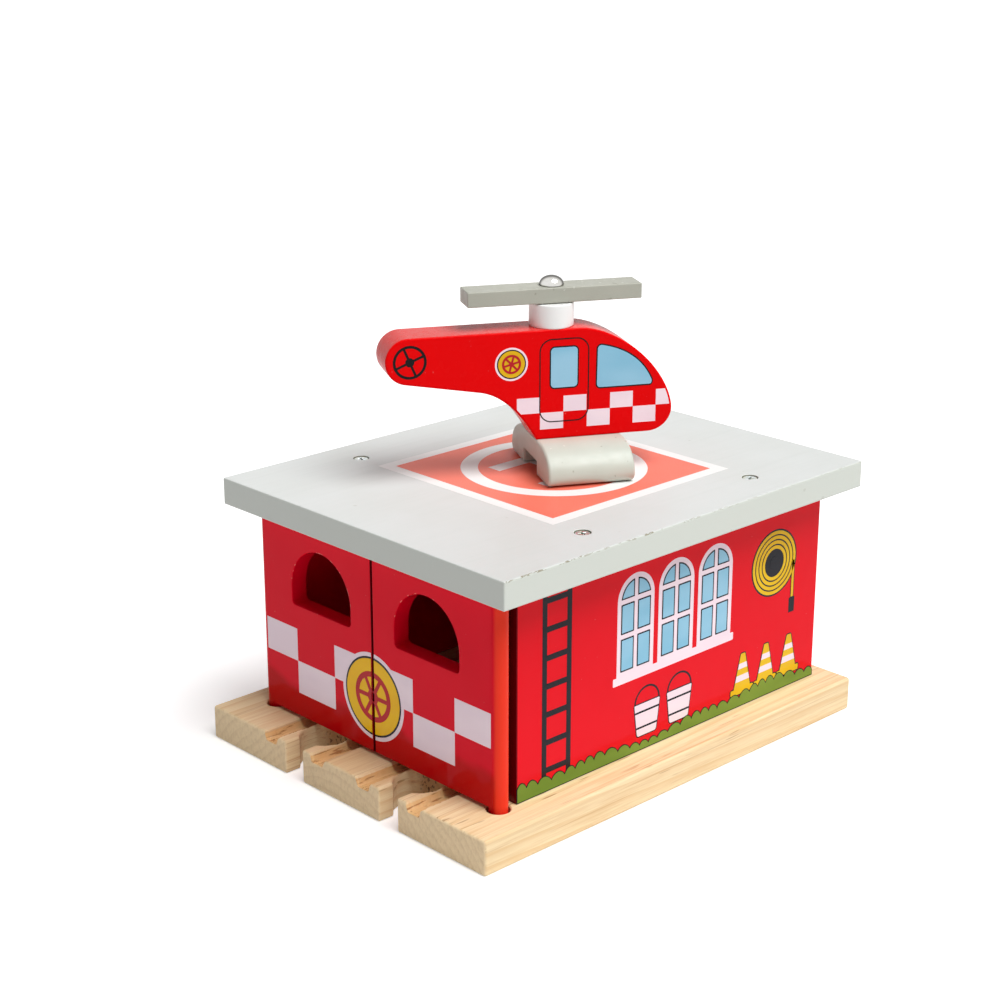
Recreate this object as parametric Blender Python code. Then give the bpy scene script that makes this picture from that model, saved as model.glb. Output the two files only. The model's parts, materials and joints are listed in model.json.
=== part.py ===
"""Toy fire station: a two-lane wooden engine shed with a helipad roof, two doors and a toy helicopter.

Metres, +Z up. The doors face -Y, the origin is under the middle of the base board.
"""

import math

import bmesh
import bpy
from mathutils import Matrix, Vector

# House: two side walls, a back wall between them, standing on the base board
HOUSE_WIDTH = 0.1160
WALL_THICKNESS = 0.0082
WALL_LENGTH = 0.1485
WALL_HEIGHT = 0.0718
WALL_EDGE_RADIUS = 0.0004
BACK_WALL_THICKNESS = 0.0082

# Base board with its margins round the house
BASE_THICKNESS = 0.0120
BASE_SIDE_MARGIN = 0.0113
BASE_BACK_MARGIN = 0.0080
BASE_APRON = 0.0182
BASE_EDGE_RADIUS = 0.0007

# Track lanes milled into the base board
LANE_SPACING = 0.0482
GROOVE_GAUGE = 0.0245
GROOVE_WIDTH = 0.0080
GROOVE_FLOOR_WIDTH = 0.0048
GROOVE_DEPTH = 0.0030
GROOVE_END_CLEARANCE = 0.0040
SOCKET_RADIUS = 0.0085
SOCKET_NECK_WIDTH = 0.0088
SOCKET_SETBACK = 0.0133

# Roof panel with its overhangs past the walls and the doors
ROOF_THICKNESS = 0.0094
ROOF_SIDE_OVERHANG = 0.0110
ROOF_FRONT_OVERHANG = 0.0068
ROOF_BACK_OVERHANG = 0.0080
ROOF_EDGE_RADIUS = 0.0007

# Doors: a board whose outer edge is fully round and runs on as a round post
DOOR_THICKNESS = 0.0064
DOOR_WALL_GAP = 0.0027
DOOR_POST_INSET = 0.0020
DOOR_POST_SHARE = 0.97
DOOR_MEETING_GAP = 0.0008
DOOR_BASE_CLEARANCE = 0.0012
DOOR_ROOF_CLEARANCE = 0.0010
DOOR_EDGE_RADIUS = 0.0004
POST_HOLE_CLEARANCE = 0.0007
POST_HOLE_FLOOR = 0.0035
POST_HOLE_CAP = 0.0034

# Arched door window: a half circle on a short straight part, with rounded lower corners
WINDOW_WIDTH = 0.0307
WINDOW_SIDE_HEIGHT = 0.0063
WINDOW_CORNER_RADIUS = 0.0015
WINDOW_TOP_MARGIN = 0.00845
WINDOW_POST_DISTANCE = 0.0297

# Countersunk wood screws, all of one size but for their length
SCREW_HEAD_RADIUS = 0.0025
SCREW_HEAD_HEIGHT = 0.0016
SCREW_SHANK_RADIUS = 0.0013
SCREW_SINK = 0.0002
RECESS_LENGTH_SHARE = 1.10
RECESS_WIDTH_SHARE = 0.26
RECESS_DEPTH_SHARE = 0.55
ROOF_SCREW_LENGTH = 0.0250
ROOF_SCREW_SPACING = 0.0814
ROOF_SCREW_SETBACK = 0.0325
BASE_SCREW_LENGTH = 0.0250
BASE_SCREW_SPACING = 0.1060
BACK_SCREW_SPACING = 0.0480

# Dowels that pin the back wall between the side walls
DOWEL_RADIUS = 0.0020
DOWEL_LENGTH = 0.0180
DOWEL_SIDE_DEPTH = 0.0050
DOWEL_HEIGHT_SHARES = (0.22, 0.78)

# Helicopter, in its own frame: x forward, y to its left, z up from the bottom of the fuselage
HELICOPTER_HEADING = math.radians(61.5)
HELICOPTER_LENGTH = 0.0998
HELICOPTER_HEIGHT = 0.0378
HELICOPTER_THICKNESS = 0.0152
HELICOPTER_EDGE_RADIUS = 0.0006
NOSE_REACH = 0.0401
NOSE_LENGTH = 0.0327
NOSE_CURVE_EXPONENT = 1.65
NOSE_CORNER_HEIGHT = 0.0080
NOSE_CORNER_LENGTH = 0.0086
TAIL_RADIUS = 0.0079
BELLY_BACK = 0.0081
BELLY_TURN_LENGTH = 0.0087
BELLY_TURN_HEIGHT = 0.0155
BOOM_ROOT_DISTANCE = 0.0273
BOOM_ROOT_HEIGHT = 0.0176

# Skid block under the fuselage: flat crown, sides curved out to a rounded foot, channel underneath
SKID_LENGTH = 0.0302
SKID_HEIGHT = 0.0121
SKID_WIDTH = 0.0472
SKID_CROWN_WIDTH = 0.0210
SKID_FOOT_RADIUS = 0.0030
SKID_BACK = 0.0082
SKID_EDGE_RADIUS = 0.0009
CHANNEL_WIDTH = 0.0158
CHANNEL_DEPTH = 0.0047
SKID_SCREW_LENGTH = 0.0160
SKID_SCREW_SPACING = 0.0150

# Rotor: a hub, a flat bar and the domed screw that it turns on
HUB_RADIUS = 0.0076
HUB_HEIGHT = 0.0078
HUB_EDGE_RADIUS = 0.0004
HUB_SETBACK = 0.0010
ROTOR_LENGTH = 0.0604
ROTOR_WIDTH = 0.0105
ROTOR_THICKNESS = 0.0052
ROTOR_EDGE_RADIUS = 0.0004
ROTOR_BORE_CLEARANCE = 0.0004
ROTOR_RUNNING_GAP = 0.0003
DOME_RADIUS = 0.0042
DOME_HEIGHT = 0.0031
ROTOR_SHANK_RADIUS = 0.0017
ROTOR_SHANK_BITE = 0.0110

# Shared clearances
SEAT_GAP = 0.0003
CUT_OVERRUN = 0.0010
MERGE_DISTANCE = 0.00001

# Facets
ARC_STEPS = 12
RING_STEPS = 32
FASTENER_STEPS = 16
EDGE_STEPS = 2
ANGLE_LIMIT = math.radians(35)

# Colour, roughness and metallic value of each finish
FINISHES = {
    "bare_pine": ((0.80, 0.62, 0.40), 0.65, 0.0),
    "red_paint": ((0.62, 0.02, 0.03), 0.25, 0.0),
    "grey_paint": ((0.60, 0.61, 0.58), 0.45, 0.0),
    "white_paint": ((0.85, 0.85, 0.84), 0.45, 0.0),
    "screw_steel": ((0.70, 0.70, 0.68), 0.30, 1.0),
    "polished_steel": ((0.80, 0.79, 0.76), 0.12, 1.0),
}

# Places worked out from the sizes above
BASE_WIDTH = HOUSE_WIDTH + 2 * BASE_SIDE_MARGIN
BASE_LENGTH = BASE_APRON + DOOR_THICKNESS / 2 + DOOR_WALL_GAP + WALL_LENGTH + BASE_BACK_MARGIN
BASE_FRONT = -BASE_LENGTH / 2
POST_X = HOUSE_WIDTH / 2 - DOOR_POST_INSET
POST_Y = BASE_FRONT + BASE_APRON
WALL_FRONT = POST_Y + DOOR_THICKNESS / 2 + DOOR_WALL_GAP
WALL_BACK = WALL_FRONT + WALL_LENGTH
WALL_CENTRE_X = (HOUSE_WIDTH - WALL_THICKNESS) / 2
WALL_BOTTOM = BASE_THICKNESS + SEAT_GAP
WALL_TOP = WALL_BOTTOM + WALL_HEIGHT
BACK_WALL_Y = WALL_BACK - BACK_WALL_THICKNESS / 2
BACK_WALL_WIDTH = HOUSE_WIDTH - 2 * (WALL_THICKNESS + SEAT_GAP)
ROOF_BOTTOM = WALL_TOP + SEAT_GAP
ROOF_TOP = ROOF_BOTTOM + ROOF_THICKNESS
ROOF_WIDTH = HOUSE_WIDTH + 2 * ROOF_SIDE_OVERHANG
ROOF_FRONT = POST_Y - DOOR_THICKNESS / 2 - ROOF_FRONT_OVERHANG
ROOF_LENGTH = WALL_BACK + ROOF_BACK_OVERHANG - ROOF_FRONT
ROOF_SCREW_FRONT = WALL_FRONT + ROOF_SCREW_SETBACK
PAD_Y = ROOF_SCREW_FRONT + ROOF_SCREW_SPACING / 2
WALL_CENTRE_Y = WALL_FRONT + WALL_LENGTH / 2
HELICOPTER_Z = ROOF_TOP + SEAT_GAP + SKID_HEIGHT + SEAT_GAP
HUB_BOTTOM = HELICOPTER_HEIGHT + SEAT_GAP
ROTOR_BOTTOM = HUB_BOTTOM + HUB_HEIGHT + ROTOR_RUNNING_GAP
ROTOR_TOP = ROTOR_BOTTOM + ROTOR_THICKNESS


def material(finish):
    """Return the named finish as a Principled material, made once."""
    found = bpy.data.materials.get(finish)
    if found:
        return found
    colour, roughness, metallic = FINISHES[finish]
    made = bpy.data.materials.new(finish)
    made.use_nodes = True
    shader = made.node_tree.nodes["Principled BSDF"]
    shader.inputs["Base Color"].default_value = (*colour, 1)
    shader.inputs["Roughness"].default_value = roughness
    shader.inputs["Metallic"].default_value = metallic
    return made


def empty(name, place, heading=0.0, parent=None):
    """Add an empty on a joint's axis, turned by heading about +Z."""
    axis = bpy.data.objects.new(name, None)
    axis.location = place
    axis.rotation_euler = (0, 0, heading)
    axis.parent = parent
    bpy.context.scene.collection.objects.link(axis)
    return axis


def add_object(name, mesh, finish, place=(0, 0, 0), parent=None):
    """Put a mesh in the scene as one named sub-part."""
    part = bpy.data.objects.new(name, mesh)
    part.location = place
    part.parent = parent
    if finish:
        mesh.materials.append(material(finish))
    bpy.context.scene.collection.objects.link(part)
    return part


def shade_round(mesh):
    """Shade a mesh smooth except across its sharp edges."""
    mesh.shade_smooth()
    mesh.set_sharp_from_angle(angle=ANGLE_LIMIT)


def finish_mesh(name, model):
    """Turn a bmesh into a mesh with its faces pointing out."""
    bmesh.ops.recalc_face_normals(model, faces=model.faces)
    mesh = bpy.data.meshes.new(name)
    model.to_mesh(mesh)
    model.free()
    shade_round(mesh)
    return mesh


def box_mesh(name, size, centre=(0, 0, 0)):
    """A box of a given size about a centre."""
    model = bmesh.new()
    bmesh.ops.create_cube(model, size=1, matrix=Matrix.Translation(centre) @ Matrix.Diagonal((*size, 1)))
    return finish_mesh(name, model)


def outline_mesh(name, outline, low, high, plane="XY"):
    """Extrude a flat outline between two levels, along Z from the XY plane or along Y from the XZ plane."""
    model = bmesh.new()
    if plane == "XY":
        points = [Vector((a, b, low)) for a, b in outline]
        travel = Vector((0, 0, high - low))
    elif plane == "XZ":
        points = [Vector((a, low, b)) for a, b in outline]
        travel = Vector((0, high - low, 0))
    else:
        points = [Vector((low, a, b)) for a, b in outline]
        travel = Vector((high - low, 0, 0))
    face = model.faces.new([model.verts.new(point) for point in points])
    raised = bmesh.ops.extrude_face_region(model, geom=[face])
    moved = [item for item in raised["geom"] if isinstance(item, bmesh.types.BMVert)]
    bmesh.ops.translate(model, verts=moved, vec=travel)
    return finish_mesh(name, model)


def turned_mesh(name, profile, steps=RING_STEPS):
    """Turn a profile of (radius, height) points, which starts and ends on the axis, about Z."""
    model = bmesh.new()
    points = [model.verts.new((radius, 0, height)) for radius, height in profile]
    for first, second in zip(points, points[1:]):
        model.edges.new((first, second))
    turned = model.verts[:] + model.edges[:]
    bmesh.ops.spin(model, geom=turned, cent=(0, 0, 0), axis=(0, 0, 1), angle=math.tau, steps=steps)
    bmesh.ops.remove_doubles(model, verts=model.verts, dist=MERGE_DISTANCE)
    return finish_mesh(name, model)


def cylinder_mesh(name, radius, low, high, steps=RING_STEPS):
    """An upright cylinder between two heights."""
    return turned_mesh(name, [(0, low), (radius, low), (radius, high), (0, high)], steps)


def arc(centre, radius, start, end, steps=ARC_STEPS):
    """Points of an arc or, with a pair of radii, of part of an ellipse, from one angle to another."""
    across, up = radius if isinstance(radius, tuple) else (radius, radius)
    turns = [start + (end - start) * step / steps for step in range(steps + 1)]
    return [(centre[0] + across * math.cos(turn), centre[1] + up * math.sin(turn)) for turn in turns]


def bevel(part, width, steps=EDGE_STEPS):
    """Round a part's sharp edges."""
    edge = part.modifiers.new("edge_round", "BEVEL")
    edge.width = width
    edge.segments = steps
    edge.limit_method = "ANGLE"
    edge.angle_limit = ANGLE_LIMIT
    edge.use_clamp_overlap = True


def cut(part, mesh, place=(0, 0, 0), parent=None, rotation=(0, 0, 0), operation="DIFFERENCE"):
    """Cut a mesh out of a part, or join it on, with a hidden guide object."""
    guide = add_object(mesh.name, mesh, None, place, parent)
    guide.rotation_euler = rotation
    guide.hide_render = True
    guide.display_type = "WIRE"
    step = part.modifiers.new(mesh.name, "BOOLEAN")
    step.object = guide
    step.operation = operation
    step.solver = "EXACT"


def screw_profile(length):
    """Profile of a countersunk screw, from its tip up to the middle of its flat head at height zero."""
    point = SCREW_SHANK_RADIUS
    return [
        (0, -length),
        (SCREW_SHANK_RADIUS, point - length),
        (SCREW_SHANK_RADIUS, -SCREW_HEAD_HEIGHT),
        (SCREW_HEAD_RADIUS, -SCREW_SINK),
        (SCREW_HEAD_RADIUS, 0),
        (0, 0),
    ]


def countersink_mesh(name, length):
    """Cutter for a countersunk screw: its profile grown by the seat gap, and open above the surface."""
    head = SCREW_HEAD_RADIUS + SEAT_GAP
    shank = SCREW_SHANK_RADIUS + SEAT_GAP
    top = SCREW_SINK + CUT_OVERRUN
    profile = [
        (0, -length - SEAT_GAP),
        (shank, -length - SEAT_GAP),
        (shank, -SCREW_HEAD_HEIGHT - SEAT_GAP),
        (head, -SCREW_SINK - SEAT_GAP),
        (head, top),
        (0, top),
    ]
    return turned_mesh(name, profile, FASTENER_STEPS)


def recess_mesh(name, reach):
    """Cross-shaped cutter for a driver recess, about the axis at height zero."""
    long_side = RECESS_LENGTH_SHARE * reach / 2
    short_side = RECESS_WIDTH_SHARE * reach / 2
    depth = RECESS_DEPTH_SHARE * SCREW_HEAD_HEIGHT
    corners = [
        (long_side, short_side),
        (short_side, short_side),
        (short_side, long_side),
        (-short_side, long_side),
        (-short_side, short_side),
        (-long_side, short_side),
        (-long_side, -short_side),
        (-short_side, -short_side),
        (-short_side, -long_side),
        (short_side, -long_side),
        (short_side, -short_side),
        (long_side, -short_side),
    ]
    return outline_mesh(name, corners, -depth, CUT_OVERRUN)


def screw(name, length, head, driven_parts, up=False, parent=None):
    """A countersunk screw with its head at a place, sunk in the parts that it is driven through."""
    rotation = (math.pi, 0, 0) if up else (0, 0, 0)
    sink = SCREW_SINK if up else -SCREW_SINK
    seat = (head[0], head[1], head[2] + sink)
    mesh = turned_mesh(name, screw_profile(length), FASTENER_STEPS)
    part = add_object(name, mesh, "screw_steel", seat, parent)
    part.rotation_euler = rotation
    cut(part, recess_mesh(name + "_recess", SCREW_HEAD_RADIUS), seat, parent, rotation)
    for driven in driven_parts:
        cut(driven, countersink_mesh(name + "_hole", length), seat, parent, rotation)


def keyhole_outline():
    """Plan of a female track socket: a round hole with a straight neck out to the front edge."""
    centre = (0, BASE_FRONT + SOCKET_SETBACK)
    half_neck = SOCKET_NECK_WIDTH / 2
    opening = math.asin(min(half_neck / SOCKET_RADIUS, 1))
    ring = arc(centre, SOCKET_RADIUS, opening - math.pi / 2, 1.5 * math.pi - opening, RING_STEPS)
    front = BASE_FRONT - CUT_OVERRUN
    return ring + [(-half_neck, front), (half_neck, front)]


def groove_outline():
    """Cross-section of a wheel groove: a flat floor with sloped sides, open above the board."""
    top = BASE_THICKNESS
    half_top = GROOVE_WIDTH / 2
    half_floor = GROOVE_FLOOR_WIDTH / 2
    return [
        (-half_floor, top - GROOVE_DEPTH),
        (half_floor, top - GROOVE_DEPTH),
        (half_top, top),
        (half_top, top + CUT_OVERRUN),
        (-half_top, top + CUT_OVERRUN),
        (-half_top, top),
    ]


def base_board():
    """The board with its lanes, track sockets and door sockets."""
    size = (BASE_WIDTH, BASE_LENGTH, BASE_THICKNESS)
    board = add_object("base_board", box_mesh("base_board", size, (0, 0, BASE_THICKNESS / 2)), "bare_pine")
    bevel(board, BASE_EDGE_RADIUS)
    groove_end = BACK_WALL_Y - BACK_WALL_THICKNESS / 2 - GROOVE_END_CLEARANCE
    for lane, side in (("left", -1), ("right", 1)):
        lane_x = side * LANE_SPACING / 2
        for row, step in (("outer", side), ("inner", -side)):
            groove = outline_mesh(
                f"{lane}_{row}_groove", groove_outline(), BASE_FRONT - CUT_OVERRUN, groove_end, "XZ"
            )
            cut(board, groove, (lane_x + step * GROOVE_GAUGE / 2, 0, 0))
        socket = outline_mesh(f"{lane}_socket", keyhole_outline(), -CUT_OVERRUN, BASE_THICKNESS + CUT_OVERRUN)
        cut(board, socket, (lane_x, 0, 0))
        hole = cylinder_mesh(
            f"{lane}_post_socket", post_hole_radius(), POST_HOLE_FLOOR, BASE_THICKNESS + CUT_OVERRUN
        )
        cut(board, hole, (side * POST_X, POST_Y, 0))
    return board


def side_wall(name, side):
    """One side wall, standing on the base board."""
    size = (WALL_THICKNESS, WALL_LENGTH, WALL_HEIGHT)
    centre = (side * WALL_CENTRE_X, WALL_CENTRE_Y, WALL_BOTTOM + WALL_HEIGHT / 2)
    wall = add_object(name, box_mesh(name, size, centre), "red_paint")
    bevel(wall, WALL_EDGE_RADIUS)
    return wall


def back_wall():
    """The wall that closes the shed, between the side walls and flush with their ends."""
    size = (BACK_WALL_WIDTH, BACK_WALL_THICKNESS, WALL_HEIGHT)
    centre = (0, BACK_WALL_Y, WALL_BOTTOM + WALL_HEIGHT / 2)
    wall = add_object("back_wall", box_mesh("back_wall", size, centre), "red_paint")
    bevel(wall, WALL_EDGE_RADIUS)
    return wall


def roof_panel():
    """The roof with the blind holes that hold the door posts."""
    size = (ROOF_WIDTH, ROOF_LENGTH, ROOF_THICKNESS)
    centre = (0, ROOF_FRONT + ROOF_LENGTH / 2, ROOF_BOTTOM + ROOF_THICKNESS / 2)
    roof = add_object("roof_panel", box_mesh("roof_panel", size, centre), "grey_paint")
    bevel(roof, ROOF_EDGE_RADIUS)
    for lane, side in (("left", -1), ("right", 1)):
        hole = cylinder_mesh(
            f"{lane}_roof_socket", post_hole_radius(), ROOF_BOTTOM - CUT_OVERRUN, ROOF_TOP - POST_HOLE_CAP
        )
        cut(roof, hole, (side * POST_X, POST_Y, 0))
    return roof


def post_radius():
    """Radius of a door's round post, a hair under the round edge that it continues."""
    return DOOR_POST_SHARE * DOOR_THICKNESS / 2


def post_hole_radius():
    """Radius of the holes in which a door's post turns."""
    return DOOR_THICKNESS / 2 + POST_HOLE_CLEARANCE


def window_outline(side):
    """Arched window in a door, in the door's own plane with x measured from its post."""
    middle = -side * WINDOW_POST_DISTANCE
    half = WINDOW_WIDTH / 2
    corner = min(WINDOW_CORNER_RADIUS, WINDOW_SIDE_HEIGHT)
    spring = WALL_TOP - WINDOW_TOP_MARGIN - half
    sill = spring - WINDOW_SIDE_HEIGHT
    inset = half - corner
    right_corner = arc((middle + inset, sill + corner), corner, -math.pi / 2, 0, ARC_STEPS // 2)
    left_corner = arc((middle - inset, sill + corner), corner, -math.pi, -math.pi / 2, ARC_STEPS // 2)
    return right_corner + arc((middle, spring), half, 0, math.pi, 2 * ARC_STEPS) + left_corner


def door(name, side):
    """One door on its post's axis: the board with its round edge, the post and the arched window."""
    half = DOOR_THICKNESS / 2
    meeting_edge = DOOR_MEETING_GAP / 2 - POST_X
    round_edge = arc((0, 0), half, -math.pi / 2, math.pi / 2, ARC_STEPS)
    corners = round_edge + [(meeting_edge, half), (meeting_edge, -half)]
    plan = [(side * across, deep) for across, deep in corners]
    low = BASE_THICKNESS + DOOR_BASE_CLEARANCE
    high = ROOF_BOTTOM - DOOR_ROOF_CLEARANCE
    place = (side * POST_X, POST_Y, 0)
    leaf = add_object(name, outline_mesh(name, plan, low, high), "red_paint", place)
    bevel(leaf, DOOR_EDGE_RADIUS)
    post_low = POST_HOLE_FLOOR + SEAT_GAP
    post_high = ROOF_TOP - POST_HOLE_CAP - SEAT_GAP
    post = cylinder_mesh(name + "_post", post_radius(), post_low, post_high)
    cut(leaf, post, place, operation="UNION")
    reach = half + CUT_OVERRUN
    window = outline_mesh(name + "_window", window_outline(side), -reach, reach, "XZ")
    cut(leaf, window, place)


def wall_screws(board, walls, back, roof):
    """Roof screws down into the side walls, and base screws up into all three walls."""
    for side_name, side in (("left", -1), ("right", 1)):
        wall = walls[side]
        for end_name, end in (("front", 0), ("back", 1)):
            along = ROOF_SCREW_FRONT + end * ROOF_SCREW_SPACING
            place = (side * WALL_CENTRE_X, along, ROOF_TOP)
            screw(f"roof_screw_{side_name}_{end_name}", ROOF_SCREW_LENGTH, place, (roof, wall))
            along = WALL_CENTRE_Y + (end - 1 / 2) * BASE_SCREW_SPACING
            place = (side * WALL_CENTRE_X, along, 0)
            screw(f"base_screw_{side_name}_{end_name}", BASE_SCREW_LENGTH, place, (board, wall), up=True)
        place = (side * BACK_SCREW_SPACING / 2, BACK_WALL_Y, 0)
        screw(f"back_screw_{side_name}", BASE_SCREW_LENGTH, place, (board, back), up=True)


def wall_dowels(walls, back):
    """Dowels across the joints between the back wall and the side walls."""
    outer = HOUSE_WIDTH / 2 - WALL_THICKNESS + DOWEL_SIDE_DEPTH
    inner = outer - DOWEL_LENGTH
    radius = DOWEL_RADIUS + SEAT_GAP
    for side_name, side in (("left", -1), ("right", 1)):
        rotation = (0, side * math.pi / 2, 0)
        for level_name, share in zip(("low", "high"), DOWEL_HEIGHT_SHARES):
            name = f"wall_dowel_{side_name}_{level_name}"
            place = (0, BACK_WALL_Y, WALL_BOTTOM + share * WALL_HEIGHT)
            mesh = cylinder_mesh(name, DOWEL_RADIUS, inner, outer, FASTENER_STEPS)
            add_object(name, mesh, "bare_pine", place).rotation_euler = rotation
            for part in (walls[side], back):
                low = inner - SEAT_GAP
                high = outer + SEAT_GAP
                bore = cylinder_mesh(name + "_bore", radius, low, high, FASTENER_STEPS)
                cut(part, bore, place, rotation=rotation)


def nose_curve(steps=2 * ARC_STEPS):
    """Front of the cabin: a superellipse from the roof line forward and down to the nose."""
    back = NOSE_REACH - NOSE_LENGTH
    rise = HELICOPTER_HEIGHT - NOSE_CORNER_HEIGHT
    power = 2 / NOSE_CURVE_EXPONENT
    turns = [step / steps * math.pi / 2 for step in range(steps + 1)]
    return [
        (back + NOSE_LENGTH * math.sin(turn) ** power, NOSE_CORNER_HEIGHT + rise * math.cos(turn) ** power)
        for turn in turns
    ]


def belly_curve(steps=ARC_STEPS):
    """Hollow behind the cabin: a quadratic curve from the fuselage's bottom up to the tail boom."""
    start = Vector((-BELLY_BACK, 0))
    pull = Vector((-BELLY_BACK - BELLY_TURN_LENGTH, BELLY_TURN_HEIGHT))
    end = Vector((-BOOM_ROOT_DISTANCE, BOOM_ROOT_HEIGHT))
    points = []
    for share in [step / steps for step in range(steps + 1)]:
        rest = 1 - share
        points.append(tuple(rest**2 * start + 2 * share * rest * pull + share**2 * end))
    return points


def fuselage_outline():
    """Side view of the helicopter, anticlockwise from the bottom of the nose."""
    corner_centre = (NOSE_REACH - NOSE_CORNER_LENGTH, NOSE_CORNER_HEIGHT)
    corner = arc(corner_centre, (NOSE_CORNER_LENGTH, NOSE_CORNER_HEIGHT), -math.pi / 2, 0)
    tail_centre = (NOSE_REACH - HELICOPTER_LENGTH + TAIL_RADIUS, HELICOPTER_HEIGHT - TAIL_RADIUS)
    away = (tail_centre[0] + BOOM_ROOT_DISTANCE, tail_centre[1] - BOOM_ROOT_HEIGHT)
    lean = math.atan2(away[1], -away[0])
    lift = math.asin(min(TAIL_RADIUS / math.hypot(*away), 1))
    tail = arc(tail_centre, TAIL_RADIUS, math.pi / 2, 1.5 * math.pi - lean + lift)
    return corner[:-1] + nose_curve()[::-1] + tail + belly_curve()[::-1]


def fuselage(craft):
    """The fuselage slab, lying between the two sides of its thickness."""
    half = HELICOPTER_THICKNESS / 2
    slab = outline_mesh("helicopter_fuselage", fuselage_outline(), -half, half, "XZ")
    part = add_object("helicopter_fuselage", slab, "red_paint", parent=craft)
    bevel(part, HELICOPTER_EDGE_RADIUS)
    return part


def skid_outline():
    """Cross-section of the skid block: a quarter ellipse from the flat crown down to each rounded foot."""
    half_crown = SKID_CROWN_WIDTH / 2
    half_width = SKID_WIDTH / 2
    half_channel = CHANNEL_WIDTH / 2
    foot = SKID_FOOT_RADIUS
    foot_curve = arc((half_width - foot, foot), foot, -math.pi / 2, 0, ARC_STEPS // 2)
    side = arc((half_crown, foot), (half_width - half_crown, SKID_HEIGHT - foot), 0, math.pi / 2)
    right = [(half_channel, CHANNEL_DEPTH), (half_channel, 0)] + foot_curve + side[1:]
    left = [(-across, up) for across, up in reversed(right)]
    return right + left


def skid(craft):
    """The skid block, under the fuselage."""
    base = -SEAT_GAP - SKID_HEIGHT
    plan = [(across, up + base) for across, up in skid_outline()]
    mesh = outline_mesh("helicopter_skid", plan, -SKID_BACK, SKID_LENGTH - SKID_BACK, "YZ")
    part = add_object("helicopter_skid", mesh, "grey_paint", parent=craft)
    bevel(part, SKID_EDGE_RADIUS)
    return part


def skid_screws(craft, fuselage_part, skid_part):
    """Two screws up through the channel into the fuselage."""
    middle = SKID_LENGTH / 2 - SKID_BACK
    channel_top = -SEAT_GAP - SKID_HEIGHT + CHANNEL_DEPTH
    for name, end in (("skid_screw_back", -1), ("skid_screw_front", 1)):
        place = (middle + end * SKID_SCREW_SPACING / 2, 0, channel_top)
        screw(name, SKID_SCREW_LENGTH, place, (skid_part, fuselage_part), up=True, parent=craft)


def hub(craft):
    """The white cylinder between fuselage and rotor."""
    mesh = cylinder_mesh("helicopter_hub", HUB_RADIUS, HUB_BOTTOM, HUB_BOTTOM + HUB_HEIGHT)
    part = add_object("helicopter_hub", mesh, "white_paint", (-HUB_SETBACK, 0, 0), craft)
    bevel(part, HUB_EDGE_RADIUS)
    return part


def rotor_blade(axis):
    """The flat rotor bar, centred on the rotor's axis."""
    size = (ROTOR_LENGTH, ROTOR_WIDTH, ROTOR_THICKNESS)
    mesh = box_mesh("rotor_blade", size, (0, 0, ROTOR_THICKNESS / 2))
    blade = add_object("rotor_blade", mesh, "grey_paint", parent=axis)
    bevel(blade, ROTOR_EDGE_RADIUS)
    radius = ROTOR_SHANK_RADIUS + ROTOR_BORE_CLEARANCE
    bore = cylinder_mesh("rotor_bore", radius, -CUT_OVERRUN, ROTOR_THICKNESS + CUT_OVERRUN, FASTENER_STEPS)
    cut(blade, bore, parent=axis)


def rotor_screw(craft, hub_part, fuselage_part):
    """The domed screw that holds the rotor: through its bore and the hub into the fuselage."""
    head = ROTOR_TOP + ROTOR_RUNNING_GAP
    tip = HELICOPTER_HEIGHT - ROTOR_SHANK_BITE
    dome = [
        (DOME_RADIUS * math.cos(turn), head + DOME_HEIGHT * math.sin(turn))
        for turn in [math.pi / 2 * step / ARC_STEPS for step in range(ARC_STEPS)]
    ]
    shank = [(0, tip), (ROTOR_SHANK_RADIUS, tip + ROTOR_SHANK_RADIUS), (ROTOR_SHANK_RADIUS, head)]
    mesh = turned_mesh("rotor_screw", shank + dome + [(0, head + DOME_HEIGHT)], 2 * ARC_STEPS)
    place = (-HUB_SETBACK, 0, 0)
    part = add_object("rotor_screw", mesh, "polished_steel", place, craft)
    recess_place = (-HUB_SETBACK, 0, head + DOME_HEIGHT)
    cut(part, recess_mesh("rotor_screw_recess", DOME_RADIUS), recess_place, craft)
    for driven in (hub_part, fuselage_part):
        radius = ROTOR_SHANK_RADIUS + SEAT_GAP
        bore = cylinder_mesh("rotor_screw_bore", radius, tip - SEAT_GAP, ROTOR_BOTTOM, FASTENER_STEPS)
        cut(driven, bore, place, craft)


def station():
    """The shed: board, walls, roof, doors and what holds them together."""
    board = base_board()
    walls = {-1: side_wall("left_wall", -1), 1: side_wall("right_wall", 1)}
    back = back_wall()
    roof = roof_panel()
    wall_screws(board, walls, back, roof)
    wall_dowels(walls, back)
    door("left_door", -1)
    door("right_door", 1)


def helicopter():
    """The helicopter, standing on the middle of the helipad."""
    craft = empty("helicopter_place", (0, PAD_Y, HELICOPTER_Z), HELICOPTER_HEADING)
    fuselage_part = fuselage(craft)
    skid_screws(craft, fuselage_part, skid(craft))
    hub_part = hub(craft)
    rotor_screw(craft, hub_part, fuselage_part)
    rotor_blade(empty("rotor_axis", (-HUB_SETBACK, 0, ROTOR_BOTTOM), parent=craft))


def main():
    for old in list(bpy.data.objects):
        bpy.data.objects.remove(old)
    station()
    helicopter()


main()
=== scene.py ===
"""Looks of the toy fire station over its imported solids. Metres, +Z up, the doors face -Y.

Flat shapes are closed numpy outlines, drawn in millimetres on the face that carries them. Solid
shapes are those outlines, or turned profiles, carried through rings of points. A shape is its points
and a list of arrays of faces.
"""

import json

import bmesh
import bpy
import numpy as np
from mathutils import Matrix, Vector
from mathutils.geometry import tessellate_polygon


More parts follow.
